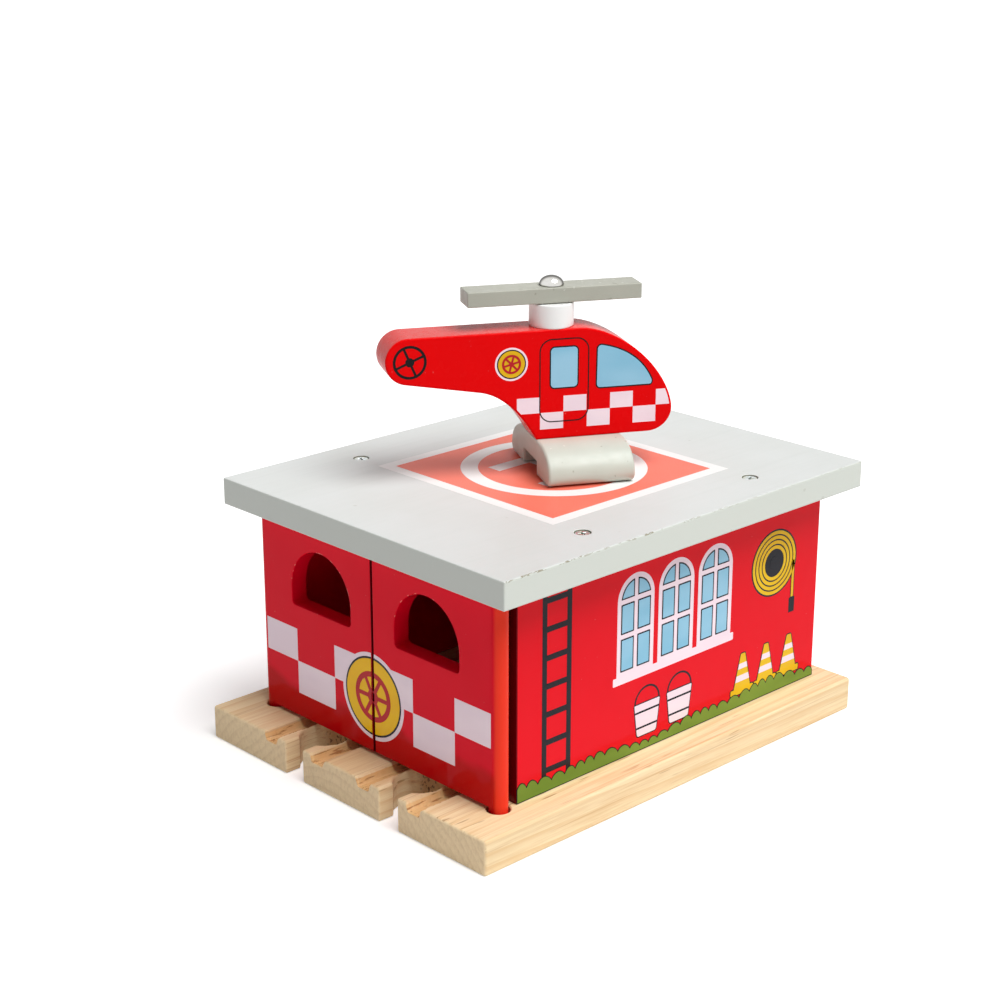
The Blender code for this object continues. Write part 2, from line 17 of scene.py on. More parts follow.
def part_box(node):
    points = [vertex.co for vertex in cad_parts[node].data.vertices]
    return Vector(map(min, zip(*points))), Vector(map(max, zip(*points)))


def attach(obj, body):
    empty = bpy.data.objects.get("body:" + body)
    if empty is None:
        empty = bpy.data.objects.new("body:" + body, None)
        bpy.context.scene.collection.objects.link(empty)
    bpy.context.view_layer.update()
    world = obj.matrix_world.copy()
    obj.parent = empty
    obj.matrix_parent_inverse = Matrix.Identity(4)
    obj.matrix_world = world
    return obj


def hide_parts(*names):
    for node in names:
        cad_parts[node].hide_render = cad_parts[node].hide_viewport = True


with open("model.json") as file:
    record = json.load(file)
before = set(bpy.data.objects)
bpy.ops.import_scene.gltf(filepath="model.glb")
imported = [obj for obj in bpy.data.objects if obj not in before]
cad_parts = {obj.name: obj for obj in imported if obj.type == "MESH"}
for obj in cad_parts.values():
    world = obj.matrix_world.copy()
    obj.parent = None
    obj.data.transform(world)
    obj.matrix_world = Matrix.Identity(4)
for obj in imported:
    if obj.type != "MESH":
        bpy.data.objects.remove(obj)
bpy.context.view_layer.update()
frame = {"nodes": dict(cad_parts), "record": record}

MM = 0.001

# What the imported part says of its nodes

BODIES = {node: body for body, nodes in frame["record"]["behaviour"]["bodies"].items() for node in nodes}


def node_box(node):
    """A node's lowest and highest corner at rest."""
    return [np.array(corner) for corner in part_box(node)]


def axis_of(node):
    """Where an upright node's axis stands in plan, in millimetres."""
    return sum(node_box(node))[:2] / 2 / MM


BASE_LOW, BASE_HIGH = node_box("base_board")
ROOF_LOW, ROOF_HIGH = node_box("roof_panel")
WALL_LOW, WALL_HIGH = node_box("right_wall")
DOOR_LOW, DOOR_HIGH = node_box("right_door")
HUB_LOW, HUB_HIGH = node_box("helicopter_hub")
SKID_LOW, SKID_HIGH = node_box("helicopter_skid")

CORNERS = [f"{side}_{end}" for side in ("left", "right") for end in ("front", "back")]
ROOF_SCREWS = [f"roof_screw_{corner}" for corner in CORNERS]
BASE_SCREWS = [f"base_screw_{corner}" for corner in CORNERS] + ["back_screw_left", "back_screw_right"]
SKID_SCREWS = ["skid_screw_front", "skid_screw_back"]
DOWELS = [f"wall_dowel_{side}_{level}" for side in ("left", "right") for level in ("low", "high")]

# Directions of the faces that shapes are drawn on: across, up and out of the face

X, Y, UP = np.eye(3)
AXES_TOP = np.array([X, Y, UP])
AXES_BELOW = np.array([X, -Y, -UP])
AXES_FRONT = np.array([X, UP, -Y])
AXES_RIGHT = np.array([Y, UP, X])
AXES_LEFT = np.array([-Y, UP, -X])
AXES_BACK = np.array([-X, UP, Y])

HEADING = np.radians(61.5)
FORWARD = np.array([np.cos(HEADING), np.sin(HEADING), 0])
PORT = np.cross(UP, FORWARD)
AXES_CRAFT = np.array([FORWARD, PORT, UP])
AXES_CRAFT_SECTION = np.array([PORT, UP, FORWARD])
AXES_STARBOARD_FACE = np.array([FORWARD, UP, -PORT])
AXES_PORT_FACE = np.array([FORWARD, UP, PORT])

# Sizes that several pieces or finishes share, in millimetres

SEAT_GAP = 0.3
OVERRUN = 1
HEAD_HOLE = 2.8
SHANK_HOLE = 1.6
POST_HOLE = 3.9
DOOR_HALF = (DOOR_HIGH[1] - DOOR_LOW[1]) / MM / 2
POST_X = DOOR_HIGH[0] / MM - DOOR_HALF
POST_Y = (DOOR_LOW[1] + DOOR_HIGH[1]) / MM / 2
WINDOW_HALF = 15.35
WINDOW_FROM_POST = 29.7
WINDOW_SILL = 54.0
WINDOW_SPRING = 60.3
FUSELAGE_HALF = 7.6
HUB_SETBACK = 1.0
HUB_MIDDLE = ((HUB_LOW + HUB_HIGH) / 2)[:2]
CRAFT = np.array([*HUB_MIDDLE, node_box("helicopter_fuselage")[0][2]]) + FORWARD * HUB_SETBACK * MM


# Outlines


def arc(centre, radii, start, end, points):
    """Points at equal steps of the angle on a circle or an ellipse, given its radius or its two."""
    turn = np.linspace(start, end, points)
    across, up = np.broadcast_to(radii, 2)
    return np.stack([centre[0] + across * np.cos(turn), centre[1] + up * np.sin(turn)], 1)


def circle(centre, radius, points=96):
    """A whole circle, anticlockwise."""
    return arc(centre, radius, 0, 2 * np.pi, points + 1)[:-1]


def hoop(centre, radius, width, points=96):
    """The two outlines of a ring, from its outer radius inwards."""
    return [circle(centre, radius, points), circle(centre, radius - width, points)[::-1]]


def moved_in(loop, inset):
    """An outline moved inwards: points go along the sum of their edges' normals, over 1 + its cosine."""
    ahead = np.roll(loop, -1, 0) - loop
    ahead = np.stack([ahead[:, 1], -ahead[:, 0]], 1) / np.hypot(ahead[:, 0], ahead[:, 1])[:, None]
    behind = np.roll(ahead, 1, 0)
    share = 1 + (ahead * behind).sum(1)
    return loop - inset * (ahead + behind) / np.maximum(share, 0.3)[:, None]


def rounded(corners, radii, steps=8, inset=0.0):
    """A polygon moved inwards, with arcs that touch both edges r tan((180 - angle) / 2) from each corner.

    An outward corner's radius falls by the inset and an inward one's grows by it, as an even offset asks.
    """
    corners = np.array(corners, float)
    radii = np.broadcast_to(radii, len(corners)).astype(float)
    edge_in, edge_out = corners - np.roll(corners, 1, 0), np.roll(corners, -1, 0) - corners
    outward = np.sign(edge_in[:, 0] * edge_out[:, 1] - edge_in[:, 1] * edge_out[:, 0])
    radii = np.where(radii > 0, np.maximum(radii - outward * inset, 0.002), 0)
    corners = moved_in(corners, inset)
    triples = zip(np.roll(corners, 1, 0), corners, np.roll(corners, -1, 0))
    points = []
    for (before, corner, after), radius in zip(triples, radii):
        if radius <= 0:
            points.append(corner[None])
            continue
        back, ahead = [(end - corner) / np.hypot(*(end - corner)) for end in (before, after)]
        half = np.arccos(np.clip(back @ ahead, -1, 1)) / 2
        middle = corner + (back + ahead) / np.hypot(*(back + ahead)) * radius / np.sin(half)
        first, last = [corner + way * radius / np.tan(half) - middle for way in (back, ahead)]
        start, end = np.arctan2(first[1], first[0]), np.arctan2(last[1], last[0])
        sweep = (end - start + np.pi) % (2 * np.pi) - np.pi
        points.append(arc(middle, radius, start, start + sweep, steps + 1))
    return np.concatenate(points)


def rectangle(low, high, radius=0.0, inset=0.0):
    """A rectangle between two corners, anticlockwise, moved inwards by an inset."""
    return rounded([low, (high[0], low[1]), high, (low[0], high[1])], radius, inset=inset)


def bar(start, end, width):
    """A rectangle of a given width along the line between two points."""
    start, end = np.array(start, float), np.array(end, float)
    along = (end - start) / np.hypot(*(end - start))
    side = np.array([-along[1], along[0]]) * width / 2
    return np.array([start - side, end - side, end + side, start + side])


def quadratic(shares, start, pull, end):
    """Points on a quadratic curve at shares of it: (1-s)^2 start + 2 s (1-s) pull + s^2 end."""
    share = np.asarray(shares, float)[:, None]
    start, pull, end = np.array([start, pull, end])
    return (1 - share) ** 2 * start + 2 * share * (1 - share) * pull + share**2 * end


# Solid shapes


def ring_faces(rows, columns):
    """Quads between neighbouring rings of a grid of points."""
    here = np.arange(columns)[None]
    there = (here + 1) % columns
    ring = np.arange(rows - 1)[:, None] * columns
    after = ring + columns
    return np.stack([ring + here, ring + there, after + there, after + here], -1).reshape(-1, 4)


def joined(shapes):
    """Several shapes as one."""
    starts = np.cumsum([0] + [len(points) for points, _ in shapes])
    faces = [corners + start for start, (_, lists) in zip(starts, shapes) for corners in lists]
    return np.concatenate([points for points, _ in shapes]), faces


def carried(loops_at, rows):
    """Outlines carried through rows, with filled ends: loops_at(row) gives each outline in 3-D."""
    rings = [loops_at(row) for row in range(rows)]
    points, faces, starts, count = [], [], [], 0
    for index, loop in enumerate(rings[0]):
        points += [ring[index] for ring in rings]
        faces.append(ring_faces(rows, len(loop)) + count)
        starts.append((count, len(loop)))
        count += rows * len(loop)
    for row in (0, rows - 1):
        number = np.concatenate([start + row * width + np.arange(width) for start, width in starts])
        flat = [[Vector(point) for point in loop] for loop in rings[row]]
        faces.append(number[np.array(tessellate_polygon(flat))])
    return np.concatenate(points), faces


def slab(loops, low, high, radius=0.0, steps=4, flat=0.25):
    """A board cut to outlines, each points or f(inset): the outside one, then its holes, clockwise.

    Towards each face the outlines move in by r(1 - sin t) while the height goes by r(1 - cos t), for t
    from 90 degrees to 0, and a last ring a little further in keeps the face flat in the shading.
    """
    inset, height = np.zeros(1), np.zeros(1)
    if radius > 0:
        turn = np.linspace(0, np.pi / 2, steps + 1)
        inset = np.concatenate([[radius + flat], radius * (1 - np.sin(turn)), [0]])
        height = np.concatenate([[0], radius * (1 - np.cos(turn)), [radius + flat]])
    inset = np.concatenate([inset, inset[::-1]])
    height = np.concatenate([low + height, high - height[::-1]])

    def loops_at(row):
        plan = [loop(inset[row]) if callable(loop) else moved_in(loop, inset[row]) for loop in loops]
        return [np.column_stack([loop, np.full(len(loop), height[row])]) for loop in plan]

    return carried(loops_at, len(height))


def board(size, corner_radius, edge_radius):
    """A rectangular board, from its corner, with eased edges."""
    return slab([lambda inset: rectangle((0, 0), size[:2], corner_radius, inset)], 0, size[2], edge_radius)


def turned(profile, columns=96, relief=None):
    """A profile of (radius, height) rows turned about the third axis; relief(x, y, z) lowers its points."""
    profile = np.array(profile, float)
    turn = np.arange(columns) / columns * 2 * np.pi
    across, up = profile[:, :1] * np.cos(turn), profile[:, :1] * np.sin(turn)
    height = np.repeat(profile[:, 1:], columns, 1)
    if relief is not None:
        height = height - relief(across, up, height)
    return np.stack([across, up, height], -1).reshape(-1, 3), [ring_faces(len(profile), columns)]


def moved(shape, place, level=0):
    """A shape moved to a place in plan and to a level."""
    return shape[0] + np.array([*place, level]), shape[1]


def placed(shape, axes=AXES_TOP, origin=(0, 0, 0)):
    """A shape in millimetres set along three directions from a point in metres."""
    return shape[0] * MM @ axes + np.array(origin), shape[1]


# Pieces

SHARP_ANGLE = 38
SCREW_SHARP_ANGLE = 50


def add_object(name, data):
    """A new object in the scene."""
    thing = bpy.data.objects.new(name, data)
    bpy.context.scene.collection.objects.link(thing)
    return thing


def shaded(mesh, sharp=SHARP_ANGLE):
    """Smooth shading that keeps edges sharper than an angle in degrees."""
    mesh.shade_smooth()
    mesh.set_sharp_from_angle(angle=np.radians(sharp))


def mesh_object(name, shape, sharp=SHARP_ANGLE):
    """Put a shape into a mesh object, its doubles merged and its faces turned outwards."""
    points, faces = shape
    mesh = bpy.data.meshes.new(name)
    mesh.from_pydata(points.tolist(), [], [face for corners in faces for face in corners.tolist()])
    model = bmesh.new()
    model.from_mesh(mesh)
    bmesh.ops.remove_doubles(model, verts=model.verts, dist=1e-7)
    bmesh.ops.dissolve_degenerate(model, edges=model.edges, dist=1e-8)
    bmesh.ops.recalc_face_normals(model, faces=model.faces)
    model.to_mesh(mesh)
    model.free()
    shaded(mesh, sharp)
    return add_object(name, mesh)


def add_piece(name, shape, finish, node, sharp=SHARP_ANGLE):
    """A finished piece that rides on a node's body."""
    piece = mesh_object(name, shape, sharp)
    piece.data.materials.append(finish)
    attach(piece, BODIES[node])
    return piece


def stand_in(name, shape, finish, node, sharp=SHARP_ANGLE):
    """A finished piece in the place of a node."""
    piece = add_piece(name, shape, finish, node, sharp)
    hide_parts(node)
    return piece


def carve(piece, cutters):
    """Cut shapes in millimetres out of a piece, one Boolean each, and apply them."""
    guides = [mesh_object(f"{piece.name}_cut", placed(cutter)) for cutter in cutters]
    for guide in guides:
        step = piece.modifiers.new("cut", "BOOLEAN")
        step.object = guide
        step.operation = "DIFFERENCE"
        step.solver = "EXACT"
    done = bpy.data.meshes.new_from_object(piece.evaluated_get(bpy.context.evaluated_depsgraph_get()))
    piece.modifiers.clear()
    piece.data = done
    for guide in guides:
        bpy.data.objects.remove(guide)
    shaded(done)


# Finishes: recipes of noises, in swells to a metre, and of the shares of colours


def rgb(red, green, blue):
    """A colour written in 0 to 255, as the linear values that a shader takes."""
    share = np.array([red, green, blue]) / 255
    linear = np.where(share <= 0.04045, share / 12.92, ((share + 0.055) / 1.055) ** 2.4)
    return (*linear.tolist(), 1.0)


class Nodes:
    """The shader nodes of a material or of the world, built up call by call."""

    def __init__(self, owner):
        """Work on the nodes of a material or a world."""
        owner.use_nodes = True
        self.tree = owner.node_tree

    def add(self, kind, inputs=None, **settings):
        """Add a node, with its settings, and its inputs linked or set."""
        node = self.tree.nodes.new(kind)
        for name, value in settings.items():
            setattr(node, name, value)
        for name, value in (inputs or {}).items():
            self.put(node.inputs[name], value)
        return node

    def put(self, socket, value):
        """Link a socket to another one, or set it to a value."""
        if isinstance(value, bpy.types.NodeSocket):
            self.tree.links.new(value, socket)
        else:
            socket.default_value = value

    def math(self, operation, *values):
        """One sum on one, two or three values."""
        node = self.add("ShaderNodeMath", operation=operation)
        for socket, value in zip(node.inputs, values):
            self.put(socket, value)
        return node.outputs["Value"]

    def product(self, first, *others):
        """Several values multiplied."""
        for other in others:
            first = self.math("MULTIPLY", first, other)
        return first

    def remap(self, value, low, high, to_low=0.0, to_high=1.0):
        """A value carried smoothly from one range to another, and kept inside it."""
        inputs = {"Value": value, "From Min": low, "From Max": high, "To Min": to_low, "To Max": to_high}
        return self.add("ShaderNodeMapRange", inputs, interpolation_type="SMOOTHSTEP").outputs["Result"]


class Finish(Nodes):
    """A material with its patterns on Object coordinates."""

    def __init__(self, name):
        """Start a material by its name, or go on with one that is there."""
        self.material = bpy.data.materials.new(name) if isinstance(name, str) else name
        super().__init__(self.material)
        self.shader = self.tree.nodes["Principled BSDF"]
        self.place = self.add("ShaderNodeTexCoord").outputs["Object"]

    def parts(self, vector):
        """The X, Y and Z of a vector, by name."""
        return self.add("ShaderNodeSeparateXYZ", {"Vector": vector}).outputs

    def facing(self):
        """The X, Y and Z of the surface's normal, by name."""
        return self.parts(self.add("ShaderNodeNewGeometry").outputs["Normal"])

    def along(self, direction):
        """How far a point lies along a direction, in metres."""
        node = self.add("ShaderNodeVectorMath", operation="DOT_PRODUCT")
        self.put(node.inputs[0], self.place)
        self.put(node.inputs[1], tuple(direction))
        return node.outputs["Value"]

    def reach(self):
        """How far a point lies from the middle plane of the house, in metres."""
        return self.math("ABSOLUTE", self.along(X))

    def stretched(self, scale, turn=(0, 0, 0), shift=(0, 0, 0)):
        """Object coordinates scaled, turned and shifted, so that a pattern runs along the grain."""
        scale = np.broadcast_to(scale, 3).astype(float).tolist()
        inputs = {"Vector": self.place, "Scale": scale, "Rotation": turn, "Location": shift}
        return self.add("ShaderNodeMapping", inputs).outputs["Vector"]

    def noise(self, scale, detail=3.0, roughness=0.5, turn=(0, 0, 0), shift=(0, 0, 0)):
        """Noise from 0 to 1 over stretched coordinates."""
        inputs = {"Vector": self.stretched(scale, turn, shift), "Scale": 1.0, "Detail": detail}
        return self.add("ShaderNodeTexNoise", {**inputs, "Roughness": roughness}).outputs["Fac"]

    def spots(self, low, high, *recipe, **place):
        """Share of the spots where a noise stands out: none below one level, all above another."""
        return self.remap(self.noise(*recipe, **place), low, high)

    def spread(self, noise, low=0.0, high=1.0):
        """A noise's usual range spread over another."""
        return self.remap(noise, 0.3, 0.7, low, high)

    def blend(self, share, first, second):
        """Two colours mixed by a share."""
        node = self.add("ShaderNodeMix", data_type="RGBA")
        for number, value in ((0, share), (6, first), (7, second)):
            self.put(node.inputs[number], value)
        return node.outputs[2]

    def coats(self, tone, *coats):
        """Colours laid over a tone one after another, each by its share."""
        for share, colour in coats:
            tone = self.blend(share, tone, colour)
        return tone

    def relief(self, *fields):
        """Normals tilted by height fields over one another: a strength below 0 makes dents."""
        normal = None
        for height, strength, depth in fields:
            inputs = {"Height": height, "Strength": abs(strength), "Distance": depth}
            if normal:
                inputs["Normal"] = normal
            normal = self.add("ShaderNodeBump", inputs, invert=strength < 0).outputs["Normal"]
        return normal

    def surface(self, colour, roughness, normal=None, gloss=0.5, metal=0.0):
        """Set the shader's colour, roughness, normals, gloss and metal, and return the material."""
        inputs = self.shader.inputs
        self.put(inputs["Base Color"], colour)
        self.put(inputs["Roughness"], roughness)
        if normal:
            self.put(inputs["Normal"], normal)
        inputs["Specular IOR Level"].default_value = gloss
        inputs["Metallic"].default_value = metal
        return self.material


# Bare pine

RING_WIDTH = 0.0034
PITH_TILT = (0.030, 0.0, -0.040)
PITH_PLACE = (-0.012, 0.0, 0.047)
BOARD_TOP = float(BASE_HIGH[2])
BOARD_FRONT = float(BASE_LOW[1])


def late_wood(pine):
    """Share of dark late wood: it swells over each ring, even steps away from a wavering pith."""
    warp, fine_warp = pine.noise((16, 2.6, 16), 2.0, 0.45), pine.noise((120, 9, 120), 2.0)
    place = pine.parts(pine.stretched(1, PITH_TILT, PITH_PLACE))
    across = pine.math("MULTIPLY_ADD", warp, 0.034, place["X"])
    squares = pine.math("MULTIPLY_ADD", across, across, pine.product(place["Z"], place["Z"]))
    radius = pine.math("MULTIPLY_ADD", fine_warp, 0.0016, pine.math("SQRT", squares))
    ring = pine.math("FRACT", pine.product(radius, 1 / RING_WIDTH))
    return pine.product(pine.remap(ring, 0.42, 0.90), pine.remap(ring, 1.0, 0.94))


def long_grain(pine, late, fibre):
    """Colour along the grain: late wood of drifting strength, dashes, fibres, thin lines, brown streaks."""
    cloud = pine.noise((34, 7, 34), 3.0, 0.55, shift=(0.4, 0.1, 0.3))
    dash = pine.noise((420, 30, 420), 3.0, 0.65, (0, 0, -0.03), (0.2, 0.3, 0.1))
    line = pine.spots(0.60, 0.66, (760, 7, 760), 2.0, 0.5, (0.03, 0, -0.06))
    streak = pine.spots(0.67, 0.75, (900, 70, 900), 1.0, 0.3, (0, 0, -0.07))
    return pine.coats(
        rgb(246, 223, 180),
        (pine.product(late, pine.remap(cloud, 0.36, 0.66, 0.08, 0.62)), rgb(220, 173, 110)),
        (pine.remap(dash, 0.46, 0.66, 0.0, 0.42), rgb(224, 186, 134)),
        (pine.remap(fibre, 0.40, 0.66, 0.0, 0.42), rgb(220, 184, 132)),
        (pine.product(line, 0.42), rgb(196, 148, 94)),
        (pine.remap(cloud, 0.40, 0.75, 0.0, 0.30), rgb(249, 228, 187)),
        (pine.product(streak, pine.spots(0.50, 0.62, (28, 12, 28)), 0.6), rgb(150, 100, 54)),
    )


def end_grain(pine, late, pore):
    """Colour across the grain: greyer, with pores, and brown and pitted inside the track sockets."""
    depth = pine.math("SUBTRACT", pine.along(Y), BOARD_FRONT)
    inside = pine.product(pine.remap(depth, 0.0020, 0.0080), pine.remap(depth, 0.045, 0.040))
    pit = pine.spots(0.55, 0.63, (900, 900, 620), 2.0, 0.6)
    return pine.coats(
        rgb(245, 220, 179),
        (pine.product(late, 0.30), rgb(220, 190, 147)),
        (pine.remap(pore, 0.42, 0.72, 0.0, 0.35), rgb(206, 176, 134)),
        (pine.product(inside, 0.8), rgb(188, 142, 88)),
        (pine.product(inside, pit, 0.85), rgb(96, 62, 30)),
    )


def bare_pine():
    """Sanded pine: long grain, milled grooves with torn fibres, and end grain across the board."""
    pine = Finish("bare_pine")
    late, facing = late_wood(pine), pine.facing()
    fibre = pine.noise((2100, 34, 2100), 4.0, 0.68, (0, 0, -0.05))
    pore = pine.noise((900, 300, 500), 3.0, 0.65)
    sunk = pine.remap(pine.along(UP), BOARD_TOP - 0.0006, BOARD_TOP - 0.0012)
    cut = pine.product(pine.remap(facing["Z"], 0.2, 0.4), sunk)
    torn = pine.product(cut, pine.spots(0.52, 0.66, (1000, 110, 1000), 2.0, 0.6))
    colour = pine.coats(
        long_grain(pine, late, fibre),
        (pine.product(cut, 0.65), rgb(230, 180, 112)),
        (pine.product(torn, 0.75), rgb(160, 96, 42)),
        (pine.remap(pine.math("ABSOLUTE", facing["Y"]), 0.55, 0.85), end_grain(pine, late, pore)),
    )
    grain = pine.math("SUBTRACT", late, pine.product(pore, 0.6))
    tilt = pine.relief((fibre, 0.35, 0.00012), (grain, 0.2, 0.00007), (torn, -0.6, 0.00020))
    return pine.surface(colour, pine.spread(fibre, 0.50, 0.68), tilt, gloss=0.3)


# Gloss red, with painted shade, highlights and reflections at its edges and low on the doors

WALL_FRONT = float(WALL_LOW[1])
DOOR_FRONT = float(-DOOR_LOW[1])
MEETING_EDGE = float(DOOR_LOW[0])
LOW_REFLECTION_TOP = 0.0190
LOW_REFLECTION_FULL = 0.0148
ARCH_CHIP_AND_HIGHLIGHT_RADIUS = (WINDOW_HALF + 0.25) * MM


def gloss_paint(name, colour, shade, grain, sheen=0.07, gloss=0.12):
    """Sprayed gloss over wood: slow ripples, faint grain, dust specks and a little uneven sheen."""
    paint = Finish(name)
    slow, lines = paint.noise(55, 2.0, 0.45), paint.noise(grain, 2.0)
    speck = paint.spots(0.79, 0.84, 900, 1.0, 0.4)
    tone = paint.blend(paint.spread(slow, 0.0, 0.35), colour, shade)
    tone = paint.blend(paint.product(speck, 0.45), tone, rgb(236, 120, 120))
    tilt = paint.relief((slow, 0.16, 0.0016), (lines, 0.10, 0.00010), (speck, 0.4, 0.00004))
    return paint.surface(tone, paint.spread(lines, sheen * 0.8, sheen * 1.35), tilt, gloss)


def repainted(material, share_of, tone):
    """Blend a paint towards another tone by a share that a function of the finish gives."""
    finish = Finish(material)
    socket = finish.shader.inputs["Base Color"]
    finish.put(socket, finish.blend(share_of(finish), socket.links[0].from_socket, tone))


def painted_wall_end_shade(finish):
    """Share of the painted shade on the side walls' front ends, in the gap behind the door posts."""
    return finish.remap(finish.along(Y), WALL_FRONT + 0.0006, WALL_FRONT + 0.0001)


def painted_meeting_edge_shade(finish):
    """Share of the painted shade on the edges where the doors meet, in the gap between them."""
    return finish.remap(finish.reach(), MEETING_EDGE + 0.0003, MEETING_EDGE + 0.00005)


def painted_low_door_reflection(finish):
    """Share of the painted dark reflection low on a door's front face, up to a level that wavers from side
    to side.
    """
    level = finish.math("MULTIPLY_ADD", finish.noise((46, 46, 12), 2.0), -0.016, finish.along(UP))
    front = finish.remap(finish.along(-Y), DOOR_FRONT - 0.0008, DOOR_FRONT - 0.0002)
    return finish.product(finish.remap(level, LOW_REFLECTION_TOP, LOW_REFLECTION_FULL, 0.0, 0.92), front)


def painted_post_highlight(finish):
    """Share of the painted orange highlight on a door's round edge."""
    beyond = finish.math("SUBTRACT", finish.reach(), POST_X * MM)
    return finish.remap(beyond, 0.0006, 0.0020, 0.0, 0.72)


def arch_chips_and_highlight(finish):
    """Share of the pale chips near the radius of a door window's arch, on the door's front face; they also
    serve as a painted highlight along the arch.
    """
    across = finish.math("SUBTRACT", finish.reach(), (POST_X - WINDOW_FROM_POST) * MM)
    up = finish.math("SUBTRACT", finish.along(UP), WINDOW_SPRING * MM)
    radius = finish.math("SQRT", finish.math("MULTIPLY_ADD", across, across, finish.product(up, up)))
    off = finish.math("ABSOLUTE", finish.math("SUBTRACT", radius, ARCH_CHIP_AND_HIGHLIGHT_RADIUS))
    return finish.product(
        finish.remap(off, 0.00024, 0.00010),
        finish.remap(up, -0.0002, 0.0004),
        finish.remap(finish.along(-Y), DOOR_FRONT - 0.0004, DOOR_FRONT - 0.0002),
        finish.spots(0.56, 0.61, 520, 2.0, 0.6),
        0.6,
    )


def painted_rim_reflection(finish):
    """Share of the painted pink reflection on the sawn rim of the helicopter, inside its two flat sides."""
    off = finish.math("ABSOLUTE", finish.math("SUBTRACT", finish.along(PORT), float(CRAFT @ PORT)))
    fuzz = finish.remap(finish.noise(520, 3.0, 0.6), 0.25, 0.75, 0.40, 0.85)
    return finish.product(finish.remap(off, (FUSELAGE_HALF - 0.2) * MM, (FUSELAGE_HALF - 0.7) * MM), fuzz)


# Satin paints, inks and metals

TOP_OF_ROOF = float(ROOF_HIGH[2])
SIDE_OF_ROOF = float(ROOF_HIGH[0])
FRONT_OF_ROOF = float(ROOF_LOW[1])
BACK_OF_ROOF = float(ROOF_HIGH[1])
PAINTED_DARK_REFLECTION = (0.05, 0.045, 0.035, 1)
PAINTED_RECESS_SHADE = (0.06, 0.08, 0.07, 1)


def satin_paint(name, colour, shade, sheen=0.42, specks=0.76):
    """Brushed satin over wood: the grain shows through, with small dents, pale dust and an uneven sheen."""
    paint = Finish(name)
    lines = paint.noise(300, 4.0, 0.62)
    pit = paint.spots(specks, specks + 0.05, 420, 1.0, 0.4)
    dust = paint.noise(560, 1.0, 0.4, shift=(0.3, 0.1, 0.2))
    tone = paint.coats(
        colour,
        (paint.spread(paint.noise(60), 0.0, 0.5), shade),
        (paint.remap(lines, 0.55, 0.8, 0.0, 0.25), shade),
        (paint.remap(dust, specks, specks + 0.05, 0.0, 0.6), rgb(228, 228, 220)),
        (paint.product(pit, 0.5), rgb(138, 136, 118)),
    )
    tilt = paint.relief((lines, 0.22, 0.00010), (pit, -0.5, 0.00012))
    return paint.surface(tone, paint.spread(lines, sheen * 0.85, sheen * 1.2), tilt)


def roof_chips(paint, under, from_edge, along):
    """Share of the fine chips on the roof's long upper edges, in patches, and more of them at the front."""
    arris = paint.product(paint.remap(from_edge, 0.0006, 0.0003), paint.remap(under, 0.0007, 0.0003))
    knock = paint.spots(0.53, 0.59, (1500, 420, 1500), 2.0, 0.6)
    patch = paint.spots(0.40, 0.55, 30, shift=(0.31, 0.12, 0.2))
    return paint.product(arris, knock, patch, paint.remap(along, 0.030, -0.020, 0.25, 1.0))


def painted_bore_shade(paint, under, from_edge, along):
    """Share of the painted shade in the roof's screw holes: just under its top, and away from its edges."""
    return paint.product(
        paint.remap(under, 0.00008, 0.00025),
        paint.remap(under, 0.0030, 0.0026),
        paint.remap(from_edge, 0.0020, 0.0030),
        paint.remap(along, FRONT_OF_ROOF + 0.0020, FRONT_OF_ROOF + 0.0030),
        paint.remap(along, BACK_OF_ROOF - 0.0020, BACK_OF_ROOF - 0.0030),
    )


def roof_paint():
    """The roof's satin grey: fine grain, painted shade on its side and end faces, chipped edges, painted
    shade in the screw holes.
    """
    paint = Finish("roof_grey")
    lines = paint.noise((420, 16, 420), 4.0, 0.6)
    under = paint.math("SUBTRACT", TOP_OF_ROOF, paint.along(UP))
    from_edge, along = paint.math("SUBTRACT", SIDE_OF_ROOF, paint.reach()), paint.along(Y)
    chip, bore = roof_chips(paint, under, from_edge, along), painted_bore_shade(paint, under, from_edge, along)
    facing = paint.facing()
    # Painted shade: the side and end faces take darker greys than the top.
    shaded_side_face, shaded_end_face = [paint.remap(paint.math("ABSOLUTE", facing[part]), 0.5, 0.9) for part in "XY"]
    tone = paint.coats(
        rgb(218, 221, 219),
        (paint.spread(paint.noise(45)), rgb(215, 218, 215)),
        (paint.product(shaded_side_face, 0.9), rgb(210, 215, 206)),
        (paint.product(shaded_end_face, 0.9), rgb(200, 204, 197)),
        (paint.remap(lines, 0.55, 0.8, 0.0, 0.14), rgb(202, 206, 199)),
        (paint.product(paint.spots(0.78, 0.83, 300, 1.0, 0.4), 0.3), rgb(168, 168, 154)),
        (paint.product(chip, 0.8), rgb(128, 116, 86)),
        # Painted shade: a dark olive on the walls of the roof's screw holes.
        (paint.product(bore, 0.85), rgb(104, 98, 70)),
    )
    tilt = paint.relief((lines, 0.2, 0.00008), (chip, -0.6, 0.00012))
    return paint.surface(tone, paint.spread(lines, 0.40, 0.52), tilt)


def ink(name, colour, shade, sheen=0.09, drift=(30, 30, 90)):
    """Printed ink under the varnish: a solid colour with a slow drift in tone and faint print dots."""
    paint = Finish(name)
    dots = paint.noise(2600, 1.0)
    tone = paint.blend(paint.spread(paint.noise(drift, 2.0)), colour, shade)
    tone = paint.blend(paint.remap(dots, 0.4, 0.7, 0.0, 0.10), tone, shade)
    tilt = paint.relief((paint.noise(55, 2.0, 0.45), 0.16, 0.0016))
    return paint.surface(tone, paint.spread(dots, sheen * 0.85, sheen * 1.2), tilt, gloss=0.2)


